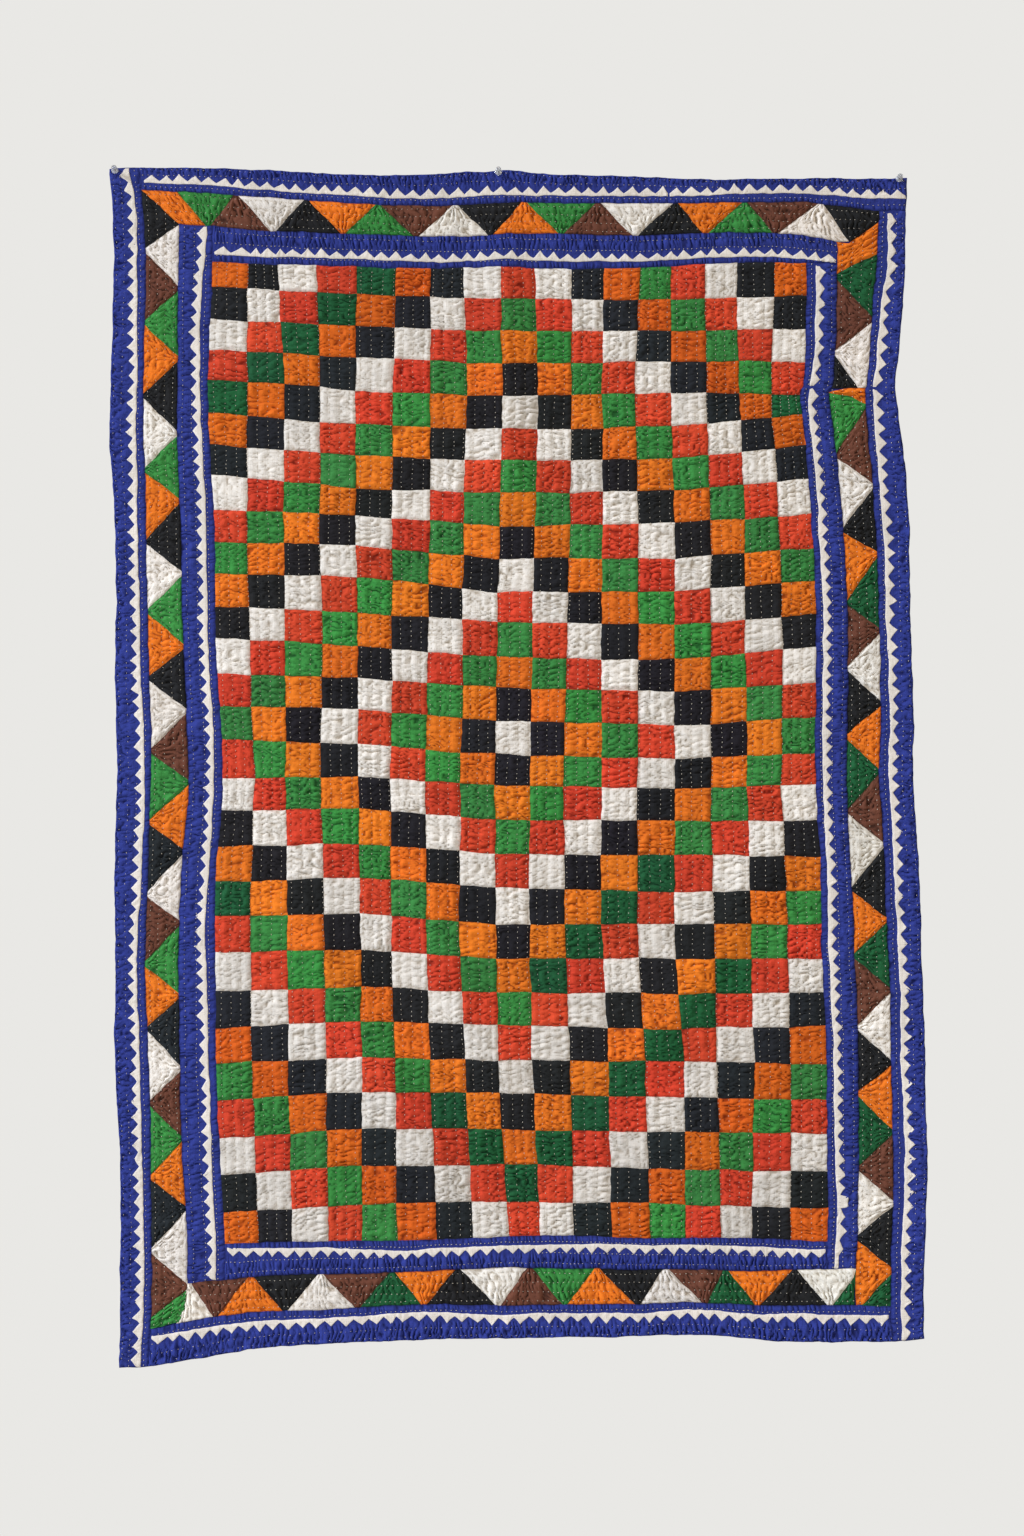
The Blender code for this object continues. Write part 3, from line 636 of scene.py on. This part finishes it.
def band_lift(band, x, z):
    """Lift and hollow of a band's face at x and z."""
    upright, outer, inner, first, last, rows, pitch, lean, gather, seed = band
    along, across = (z, x) if upright else (x, z)
    width = np.abs(inner(along) - outer(along))
    inward = np.abs(across - outer(along))
    usual = OUTER_WIDTH if outer in HEM.values() else INNER_WIDTH
    marks = (0.0, *rows, usual)
    row = np.interp(inward / np.maximum(width, 1) * usual, marks, range(len(marks)))
    relief = quilting(row + seed, along, pitch, lean, gather, seed)
    # The band lies flatter where the saw strip stiffens it, about 19 mm from its inner seam.
    relief = relief * (1 - 0.82 * np.clip(1.9 - np.abs(width - inward - 19) / 10, 0, 1))
    edge = np.minimum(inward, np.maximum(width - inward, 0))
    edge = np.where(outer in HEM.values(), width - inward, edge)
    ends = np.minimum(np.abs(first(across) - along), np.abs(last(across) - along))
    dip = sunk(np.minimum(edge, ends))
    roll = np.clip(hem_gap(x, z) / 3.0, 0, 1)
    lift = face(relief, dip) * np.sqrt(np.maximum(1 - (1 - roll) ** 2, 0))
    # The hollow sets painted shade in the creases and seams, through the cloth's colour.
    return lift, np.clip(0.6 - 0.3 * relief + 0.4 * dip, 0, 1)


def band_points(band, across, along):
    """x and z at shares across from the outer seam and along from the first end."""
    upright, outer, inner, first, last = band[:5]
    s = along * (-2000 if upright else 1300) + (0 if upright else -650)
    across, along, s = np.broadcast_arrays(across, along, s)
    for _ in range(8):
        p = outer(s) * (1 - across) + inner(s) * across
        s = first(p) * (1 - along) + last(p) * along
    return (p, s) if upright else (s, p)


for name, band in BANDS.items():
    upright, outer = band[:2]
    if outer in HEM.values():
        width, length = OUTER_WIDTH + 1, 2050.0 if upright else 1330.0
    else:
        width, length = INNER_WIDTH + 1, 1780.0 if upright else 1060.0
    hems = [end in HEM.values() for end in band[3:5]]
    across = spread(0, width, 5.0, outer in HEM.values()) / width
    along = spread(0, length, 2.5 if upright else 1.7, *hems) / length
    x, z = band_points(band, across[None, :], along[:, None])
    lift, hollow = band_lift(band, x, z)
    sewn(name + "_cloth", [(place(x, z, lift), hollow, (1, 1, 1), None)], BLUE_CLOTH,
             (name,))

# ---------------------------------------------------------------------------------------------
# Triangle bands: cotton triangles seamed point to point between the two blue bands, their
# points cut blunt. They were pieced in one long strip, trimmed to fit at the corners.
TRIANGLE_STEPS_ACROSS, TRIANGLE_STEPS_ALONG = 17, 28
BLUNT = 4.5  # half the width of a cut-off point
TRIANGLE_ROWS = (8.0, 24.0, 40.0, 56.0)
TRIANGLE_WIDTH = 64.0  # of the band
LETTERS = {"K": "black", "W": "white", "B": "brown", "G": "green", "D": "dark_green", "O": "orange"}
# For each side: the colours in order, then the points in order. Odd pieces of the left side
# stand on its outer seam. Points alternate between the seams, from the one named first.
LEFT_POINTS = (-86, -135, -201, -261, -325, -390, -455, -520, -573, -644, -701, -766, -827, -882,
               -941, -1009, -1064, -1134, -1186, -1260, -1311, -1382, -1438, -1496, -1564, -1626,
               -1688, -1755, -1809, -1883, -1946, -2003)
TOP_POINTS = (-566, -508, -459, -393, -335, -272, -211, -144, -76, -13, 45, 109, 174, 239, 309,
              361, 430, 484, 564, 617)
RIGHT_HIGH_POINTS = (-136, -181, -257, -315)
RIGHT_LOW_POINTS = (-407, -494, -547, -623, -667, -751, -800, -866, -926, -985, -1046, -1116,
                    -1174, -1251, -1304, -1368, -1428, -1493, -1554, -1608, -1675, -1739, -1799,
                    -1860, -1915)
BOTTOM_POINTS = (-542, -495, -433, -372, -311, -246, -185, -130, -71, -1, 55, 116, 172, 242, 293,
                 361, 396, 452, 517, 578)


def seams_between(points, first_on, toward):
    """Seams from point to point as (outer end, inner end), blunt at the points. toward is the
    sign of the way along; first_on says whether the first point is on the outer seam."""
    found = []
    for i, (p, q) in enumerate(zip(points, points[1:])):
        ends = (p + toward * BLUNT, q - toward * BLUNT)
        on_outer = first_on if i % 2 == 0 else not first_on
        found.append(ends if on_outer else ends[::-1])
    return [((0.0, a), (1.0, b)) for a, b in found]


def meeting(upright, level):
    """The corner where an upright and a level seam meet."""
    x = z = 0.0
    for _ in range(12):
        x = float(upright(z))
        z = float(level(x))
    return x, z


left_top = meeting(SEAM["left"], SEAM["top"])
left_inner = meeting(INNER["left"], INNER["top"])
right_top = meeting(SEAM["right"], SEAM["top"])
right_inner = meeting(INNER["right"], INNER["top"])
left_foot = meeting(SEAM["left"], SEAM["bottom"])


def left_inner_seam(z):
    """The inner seam of the left triangles, drawn in to the corner at its foot."""
    return INNER["left"](z) - np.interp(-z, (1946, 1982, 2010), (0.0, 3.0, 14.0))


TRIANGLES = {
    # side: upright, outer seam, inner seam, colours, seams across (share across, place along)
    "left": (
        True, SEAM["left"], left_inner_seam, "KWBGOKWGOKWGOKWBGOKWBGOKWBGOKWBG",
        [((0.0, left_top[1]), (1.0, left_inner[1]))]
        + seams_between(LEFT_POINTS, False, -1)
        + [((0.0, left_foot[1]), (1.0, -2007.0))],
    ),
    "top": (
        False, SEAM["top"], INNER["top"], "OGBWKOGBWKOGBWKOGBWK",
        [((0.0, left_top[0]), (1.0, left_inner[0]))]
        + seams_between(TOP_POINTS, True, 1)
        + [((0.0, right_top[0]), (0.35, right_top[0]), (1.0, 617.5))],
    ),
    "right_high": (
        True, SEAM["right"], INNER["right"], "ODBWK",
        [((0.0, -85.0), (0.7, -122.5), (1.0, right_inner[1] - 0.5))]
        + seams_between(RIGHT_HIGH_POINTS, True, -1)
        + [((0.0, -375.5), (0.25, -375.5), (1.0, -319.5)), ((0.0, -375.7), (1.0, -375.7))],
    ),
    "right_low": (
        True, SEAM["right"], INNER["right"], "OGBWKODBWKODBWKODBWKODBWKOD",
        [((0.0, -376.2), (0.55, -376.2), (0.85, -379.0), (1.0, -383.0))]
        + [((0.0, -403.0), (0.5, -389.0), (1.0, -383.5))]
        + seams_between(RIGHT_LOW_POINTS, True, -1)
        + [((0.0, -1922.0), (0.79, -1976.2), (1.0, -1977.0)), ((0.0, -1978.0), (1.0, -1978.0))],
    ),
    "bottom": (
        False, SEAM["bottom"], INNER["bottom"], "WBOKWBDOKWBGOKWBDOKWD",
        [((0.0, -562.0), (0.4, -550.0), (1.0, -546.0))]
        + seams_between(BOTTOM_POINTS, False, 1)
        + [((0.0, 583.0), (0.75, 620.0), (1.0, 623.0)), ((0.0, 620.0), (1.0, 624.0))],
    ),
}


def triangle_lift(side, x, z, edge):
    """Lift and hollow of a side's triangles at x and z, an edge being this far away."""
    upright, outer, inner = TRIANGLES[side][:3]
    along, across = (z, x) if upright else (x, z)
    width = np.maximum(np.abs(inner(along) - outer(along)), 1)
    inward = np.abs(across - outer(along))
    marks = (0.0, *TRIANGLE_ROWS, TRIANGLE_WIDTH)
    row = np.interp(inward / width * TRIANGLE_WIDTH, marks, range(len(marks)))
    seed = 70 + 7 * list(TRIANGLES).index(side)
    relief = quilting(row + seed, along, 10.0, 0.6 if upright else 0.1, 1.25, seed)
    edge = np.minimum(edge, np.minimum(inward, np.maximum(width - inward, 0)))
    dip = sunk(edge)
    # The hollow sets painted shade in the creases and seams, through the cloth's colour.
    return face(relief, dip), np.clip(0.6 - 0.3 * relief + 0.4 * dip, 0, 1)


triangles = {name: [] for name in LETTERS.values()}
share = np.linspace(0, 1, TRIANGLE_STEPS_ACROSS + 1)[None, :]
step = np.linspace(0, 1, TRIANGLE_STEPS_ALONG + 1)[:, None]
for side, (upright, outer, inner, colours, seams) in TRIANGLES.items():
    for letter, first, last in zip(colours, seams, seams[1:]):
        start = np.interp(share, *zip(*first))
        end = np.interp(share, *zip(*last))
        s = start * (1 - step) + end * step
        p = outer(s) * (1 - share) + inner(s) * share
        x, z = (p, s) if upright else (s, p)
        edge = np.minimum(np.abs(s - start), np.abs(s - end)) * 0.72
        lift, hollow = triangle_lift(side, x, z, edge)
        tint = np.full(3, rng.uniform(0.93, 1.07)) * rng.uniform(0.985, 1.015, 3)
        if letter == "K" and side == "left" and s.mean() < -1150:
            tint = tint * BLACK_RINGS[16]
        triangles[LETTERS[letter]].append((place(x, z, lift), hollow, tint, None))
for name, patches in triangles.items():
    sewn("triangles_" + name, patches, CLOTH[name], TRIANGLE_BANDS)

# ---------------------------------------------------------------------------------------------
# Saw strips: bias-cut white cotton, one edge snipped and turned under into points, sewn flat on
# the blue bands with the points to the hem. No two points are alike, as each is folded by hand.
# name: width behind the points, height of the points, pitch of the points
SAW_SIZES = {
    "outer_saw_left": (5.8, 11.6, 24.8),
    "outer_saw_right": (5.6, 12.0, 27.0),
    "outer_saw_top": (4.4, 12.2, 25.6),
    "outer_saw_bottom": (5.0, 12.0, 25.0),
    "inner_saw_left": (6.3, 11.2, 25.0),
    "inner_saw_right": (6.2, 10.6, 25.5),
    "inner_saw_top": (4.2, 11.6, 25.0),
    "inner_saw_bottom": (5.0, 11.5, 23.0),
}
POINTED = 1.12  # over 1, the sides of a point are a little hollow
# Its last colour is painted shade, in part dust, in the creases.
SAW_CLOTH = cotton("white cotton appliqué", "#F0E9DE", 0.25, 0.03, "#D9CFBE")
# name: band, upright, straight edge, first and last place along, sign of outward
SAWS = {}
for name in SAW_SIZES:
    upright = name.endswith(("left", "right"))
    along = 2 if upright else 0
    outward, pick = (1, np.min) if name.endswith(("right", "top")) else (-1, np.max)
    line = seam_line((name,), along, pick, JOG if name.endswith("right") else ())
    low, high = [1000 * corner[along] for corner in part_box(name)]
    SAWS[name] = (name.replace("saw", "band"), upright, line, low, high, outward)


def saw_patches(name):
    """A strip as grids of cloth, one for each unbroken run of points."""
    band, upright, line, low, high, outward = SAWS[name]
    behind, height, pitch = SAW_SIZES[name]
    random = np.random.default_rng(sum(map(ord, name)))
    runs = [(low, high)]
    if name.endswith("right"):
        runs = [(low, JOG[0] - 2), (JOG[0] + 2, high)]
    if name == "outer_saw_top":
        runs = [(low, 296.5), (298.0, high)]  # a second length starts here
    found = []
    for start, end in runs:
        teeth = max(2, round((end - start) / pitch))
        valleys = np.linspace(start, end, teeth + 1)
        valleys[1:-1] += random.uniform(-2.4, 2.4, teeth - 1)
        if name == "inner_saw_top":
            valleys[1:5] += (5.0, 9.0, 7.0, 4.0)  # the first points were cut wider
        tips = (valleys[1:] + valleys[:-1]) / 2 + random.uniform(-2.2, 2.2, teeth)
        heights = height * random.uniform(0.82, 1.14, teeth)
        square = np.zeros(teeth, bool)
        if name == "inner_saw_right" and start < -400:
            heights[tips < -1886] = 0.0  # the last points were never cut
            left_square = np.argmin(np.abs(tips + 1795))  # so was this one, and it is taller
            square[left_square], heights[left_square] = True, 14.0
        places, rise = [], []
        for k in range(teeth):
            for t in np.linspace(0, 1, 6)[:-1]:
                places.append(valleys[k] + (tips[k] - valleys[k]) * t)
                rise.append(heights[k] * (min(1, 4 * t) if square[k] else t**POINTED))
            for t in np.linspace(0, 1, 6)[:-1]:
                places.append(tips[k] + (valleys[k + 1] - tips[k]) * t)
                t = 1 - t
                rise.append(heights[k] * (min(1, 4 * t) if square[k] else t**POINTED))
        s = np.array([*places, end])[:, None]
        solid = behind + noise(s / 30, 0.5, sum(map(ord, name)))
        reach = solid + np.array([*rise, 0.0])[:, None]
        # From the straight edge to the points, with both edges turned down into the band.
        share = np.array([0.0, 0.02, 0.1, 0.3, 0.5, 0.7, 0.88, 0.97, 1.0])[None, :]
        raised = np.array([-0.3, 0.55, 0.85, 1.0, 1.0, 1.0, 0.85, 0.55, -0.3])[None, :]
        q = reach * share
        p = line(s) + outward * q
        s = np.broadcast_to(s, p.shape)
        x, z = (p, s) if upright else (s, p)
        under, hollow = band_lift(BANDS[band], x, z)
        end_gap = np.minimum(np.abs(s - start), np.abs(s - end))
        over = np.where(end_gap < 0.4, -0.3, raised)
        found.append((place(x, z, under + over), hollow * 0.8 + 0.1, (1, 1, 1), None))
    return found


for name in SAWS:
    sewn(name + "_cloth", saw_patches(name), SAW_CLOTH, (name,))

# ---------------------------------------------------------------------------------------------
# Quilting: undyed cotton thread in running stitch through every layer, by hand, stitches about
# 2.5 mm long and 9 mm apart. The rows go up and down, and along the top and bottom borders.
STITCH_LENGTH, STITCH_WIDTH, STITCH_HEIGHT, STITCH_STEP = 2.5, 1.2, 1.2, 8.8
CLEAR = 0.45  # border stitches sit this much higher on their cloth
THREAD = "#E2DAC9"


def running_stitch(random, start, end):
    """Places of the stitches of a row, from start to end."""
    count = int(abs(end - start) / STITCH_STEP)
    spots = start + (np.arange(count) + random.uniform(0.2, 0.8)) * (end - start) / count
    return spots + random.uniform(-0.7, 0.7, count)


def stitches(name, spots, material):
    """A mesh of stitches at (x, z, lift, angle): each a short rounded bar, its ends sunk."""
    x, z, lift, angle = (np.concatenate(part) for part in zip(*spots))
    random = np.random.default_rng(len(x))
    length = STITCH_LENGTH * random.uniform(0.75, 1.2, len(x)) / 2
    angle = angle + random.normal(0, 0.09, len(x))
    middle = place(x, z, lift)
    along = np.stack([np.cos(angle), np.zeros_like(angle), np.sin(angle)], -1)
    side = np.stack([-np.sin(angle), np.zeros_like(angle), np.cos(angle)], -1)
    out = np.array([0.0, -1.0, 0.0])
    shape = (  # share along, share aside, height
        (-1.0, 0.0, -0.15),
        (-0.55, -0.5, 0.0), (-0.55, 0.5, 0.0), (-0.55, 0.0, STITCH_HEIGHT),
        (0.55, -0.5, 0.0), (0.55, 0.5, 0.0), (0.55, 0.0, STITCH_HEIGHT),
        (1.0, 0.0, -0.15),
    )
    corners = [
        middle + (along * (a * length)[:, None] + side * (b * STITCH_WIDTH) + out * h) / 1000
        for a, b, h in shape
    ]
    points = np.stack(corners, 1)
    # One winding for all: the sides run round the bar, and its ends close to points.
    faces = [(0, 2, 1), (0, 1, 3), (0, 3, 2), (7, 4, 5), (7, 6, 4), (7, 5, 6)]
    faces += [(1, 4, 6), (1, 6, 3), (2, 3, 6), (2, 6, 5), (1, 2, 5), (1, 5, 4)]
    index = np.arange(len(x))[:, None, None] * 8 + np.array(faces)[None]
    mesh = bpy.data.meshes.new(name)
    mesh.from_pydata(points.reshape(-1, 3).tolist(), [], index.reshape(-1, 3).tolist())
    mesh.polygons.foreach_set("use_smooth", [True] * len(mesh.polygons))
    mesh.materials.append(material)
    piece = bpy.data.objects.new(name, mesh)
    bpy.context.collection.objects.link(piece)
    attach(piece, "root")
    return piece


thread, tree, shader, where = begin("undyed cotton thread")  # soft, matt, two-ply
grime = speckle(tree, where, 25, 2.0)
ramp = add(tree, "ShaderNodeValToRGB", {"Fac": grime})
ramp.color_ramp.elements[0].color = (*linear("#D6CCB8"), 1)
ramp.color_ramp.elements[0].position = 0.35
ramp.color_ramp.elements[1].color = (*linear(THREAD), 1)
ramp.color_ramp.elements[1].position = 0.6
tree.links.new(ramp.outputs["Color"], shader.inputs["Base Color"])
shader.inputs["Roughness"].default_value = 0.8

random = np.random.default_rng(8)
field_spots = []
for k in range(int(COLUMNS * ROWS_OF_STITCH)):
    column = (k + 0.5) / ROWS_OF_STITCH
    down = running_stitch(random, 0.0, ROWS * SQUARE_HEIGHT) / SQUARE_HEIGHT
    down = down[(down > 0.03) & (down < ROWS - 0.03)]
    across = column + 0.006 * noise(down * 1.7, k * 3.3, 90)
    x, z, lift, _ = field_surface(across, down)
    ahead_x, ahead_z, _, _ = field_surface(across, np.minimum(down + 0.02, ROWS))
    field_spots.append((x, z, lift, np.arctan2(ahead_z - z, ahead_x - x)))
stitches("quilting_of_squares", field_spots, thread)

border_spots = []
for name, band in BANDS.items():
    upright, outer = band[:2]
    _, _, straight, low, high, outward = SAWS[name.replace("band", "saw")]
    covered = sum(SAW_SIZES[name.replace("band", "saw")][:2])
    width = OUTER_WIDTH if outer in HEM.values() else INNER_WIDTH
    length = 2000.0 if upright else 1300.0
    for k, inward in enumerate(band[5]):
        along = running_stitch(random, 0.0, length) / length
        share = inward / width + 0.008 * noise(along * 22, k * 2.1, 91)
        x, z = band_points(band, share, along)
        s, p = (z, x) if upright else (x, z)
        beyond = (p - straight(s)) * outward
        keep = (s > low - 20) & (s < high + 20) & ((beyond < -1.5) | (beyond > covered - 3))
        x, z, s = x[keep], z[keep], s[keep]
        lift, _ = band_lift(band, x, z)
        angle = np.pi / 2 if upright else 0.0
        border_spots.append((x, z, lift + CLEAR, np.full(len(x), angle)))
for side, (upright, outer, inner, _, seams) in TRIANGLES.items():
    first, last = seams[0], seams[-1]
    for k, inward in enumerate(TRIANGLE_ROWS):
        share = inward / TRIANGLE_WIDTH
        start, end = np.interp(share, *zip(*first)), np.interp(share, *zip(*last))
        s = running_stitch(random, start, end)
        p = outer(s) * (1 - share) + inner(s) * share + 0.5 * noise(s / 40, k * 2.1, 92)
        x, z = (p, s) if upright else (s, p)
        lift, _ = triangle_lift(side, x, z, np.full(len(x), 50.0))
        angle = np.pi / 2 if upright else 0.0
        border_spots.append((x, z, lift + CLEAR, np.full(len(x), angle)))
stitches("quilting_of_borders", border_spots, thread)

# ---------------------------------------------------------------------------------------------
# Push pins: clear polystyrene grips moulded round steel needles, pushed into the wall at the
# two top corners and the middle of the hem, heads tilted up.
clear, tree, shader, where = begin("clear polystyrene")  # moulded, glossy, scuffed
scuff = ranged(tree, speckle(tree, where, 3, 3.0), 0.06, 0.2)
tree.links.new(scuff, shader.inputs["Roughness"])
shader.inputs["Base Color"].default_value = (*linear("#EEF0F0"), 1)
shader.inputs["IOR"].default_value = 1.59
shader.inputs["Transmission Weight"].default_value = 0.7
steel, tree, shader, where = begin("bright steel wire")  # drawn, polished, lightly scratched
drawn = ranged(tree, speckle(tree, where, 0.8, 2.0), 0.2, 0.4)
tree.links.new(drawn, shader.inputs["Roughness"])
shader.inputs["Base Color"].default_value = (*linear("#B9B9BA"), 1)
shader.inputs["Metallic"].default_value = 1.0

# Radius and distance out from the collar's underside: collar, waist and head.
GRIP = ((6.0, 0.0), (6.2, 0.4), (6.25, 0.9), (6.1, 1.4), (5.2, 1.9), (4.2, 2.5), (3.3, 3.3),
        (2.8, 4.4), (2.6, 5.8), (2.7, 7.2), (3.1, 8.3), (3.8, 9.1), (4.4, 9.8), (4.7, 10.6),
        (4.6, 11.3), (4.2, 11.8), (3.6, 12.0))
TILT = math.radians(12)
COLLAR_GAP = 2.6  # from the cloth to the collar's underside, along the needle
for where_at, pin_x, pin_z in zip(("left", "centre", "right"), PIN_X, PIN_Z):
    bpy.ops.object.select_all(action="DESELECT")
    bpy.ops.mesh.primitive_circle_add(vertices=40, radius=GRIP[0][0] / 1000, fill_type="NGON")
    grip = bpy.context.object
    grip.name = "push_pin_grip_" + where_at
    bpy.ops.object.mode_set(mode="EDIT")
    bpy.ops.mesh.select_all(action="SELECT")
    for (radius, out), (next_radius, next_out) in zip(GRIP, GRIP[1:]):
        bpy.ops.mesh.extrude_region_move(
            TRANSFORM_OT_translate={"value": (0, 0, (next_out - out) / 1000)}
        )
        ratio = next_radius / radius
        bpy.ops.transform.resize(
            value=(ratio, ratio, 1), center_override=(0, 0, next_out / 1000)
        )
    bpy.ops.mesh.select_all(action="SELECT")
    bpy.ops.mesh.normals_make_consistent(inside=False)
    bpy.ops.object.mode_set(mode="OBJECT")
    bpy.ops.object.shade_smooth_by_angle(angle=math.radians(40))
    along = (float(hang(pin_x, pin_z)) + QUILT_THICKNESS) / math.cos(TILT) + COLLAR_GAP
    grip.data.transform(
        Matrix.Translation((pin_x / 1000, 0, pin_z / 1000))
        @ Matrix.Rotation(math.pi / 2 - TILT, 4, "X")
        @ Matrix.Translation((0, 0, along / 1000))
    )
    grip.data.materials.append(clear)
    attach(grip, "root")
    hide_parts("pin_grip_" + where_at)
    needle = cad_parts["pin_needle_" + where_at]
    needle.data.materials.clear()
    needle.data.materials.append(steel)

# ---------------------------------------------------------------------------------------------
# Studio: a plain pale floor under the quilt, soft light from both sides, and the camera square
# on to the quilt, where its middle is level with the lens.
low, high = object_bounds()
bpy.ops.object.select_all(action="DESELECT")
bpy.ops.mesh.primitive_plane_add(size=1, location=(0, -0.9, low[2] - 0.45))
floor = bpy.context.object
floor.name = "studio_floor"
floor.scale = (3.4, 2.6, 1)
bpy.ops.object.transform_apply(location=False, rotation=False, scale=True)
pale = bpy.data.materials.new("matt white board")
pale.use_nodes = True
pale.node_tree.nodes["Principled BSDF"].inputs["Base Color"].default_value = (0.72, 0.71, 0.69, 1)
pale.node_tree.nodes["Principled BSDF"].inputs["Roughness"].default_value = 0.9
floor.data.materials.append(pale)

world = bpy.data.worlds.new("pale studio")
world.use_nodes = True
tree = world.node_tree
tree.nodes["Background"].inputs["Color"].default_value = (*linear("#F4F3F1"), 1)
tree.nodes["Background"].inputs["Strength"].default_value = 0.3
backdrop = add(tree, "ShaderNodeBackground", {"Color": (*linear("#E9E8E5"), 1)})
seen = add(tree, "ShaderNodeLightPath").outputs["Is Camera Ray"]
either = add(tree, "ShaderNodeMixShader", {0: seen})
tree.links.new(tree.nodes["Background"].outputs["Background"], either.inputs[1])
tree.links.new(backdrop.outputs["Background"], either.inputs[2])
tree.links.new(either.outputs["Shader"], tree.nodes["World Output"].inputs["Surface"])
bpy.context.scene.world = world
bpy.context.scene.view_settings.view_transform = "Standard"

for light_name, kind, spot, power, colour in (
    ("window_left", "SUN", (-6.0, -3.2, 3.2), 2.75, "#EEF3FF"),
    ("near_window", "AREA", (-1.9, -1.6, -0.8), 19.0, "#F4F6FF"),
    ("lamp_right", "AREA", (6.0, -4.0, 1.5), 120.0, "#FFE9CF"),
):
    lamp = bpy.data.lights.new(light_name, kind)
    lamp.energy = power
    lamp.color = linear(colour)
    if kind == "SUN":
        lamp.angle = math.radians(14)  # as wide as a window across the room
    else:
        lamp.size = 1.6
    holder = bpy.data.objects.new(light_name, lamp)
    holder.location = spot
    aim = Vector((0, 0, -1.0)) - Vector(spot)
    holder.rotation_euler = aim.to_track_quat("-Z", "Y").to_euler()
    bpy.context.collection.objects.link(holder)

DISTANCE, VIEW_HEIGHT = 3.7, 2.688  # metres
LENS_X, LENS_Z = 0.0236, -1.0395
lens = bpy.data.cameras.new("camera")
lens.sensor_fit = "VERTICAL"
lens.sensor_height = 36.0
lens.lens = 36.0 * DISTANCE / VIEW_HEIGHT
camera = bpy.data.objects.new("camera", lens)
camera.location = (LENS_X, -DISTANCE, LENS_Z)
camera.rotation_euler = (math.pi / 2, 0, 0)
bpy.context.collection.objects.link(camera)
bpy.context.scene.camera = camera
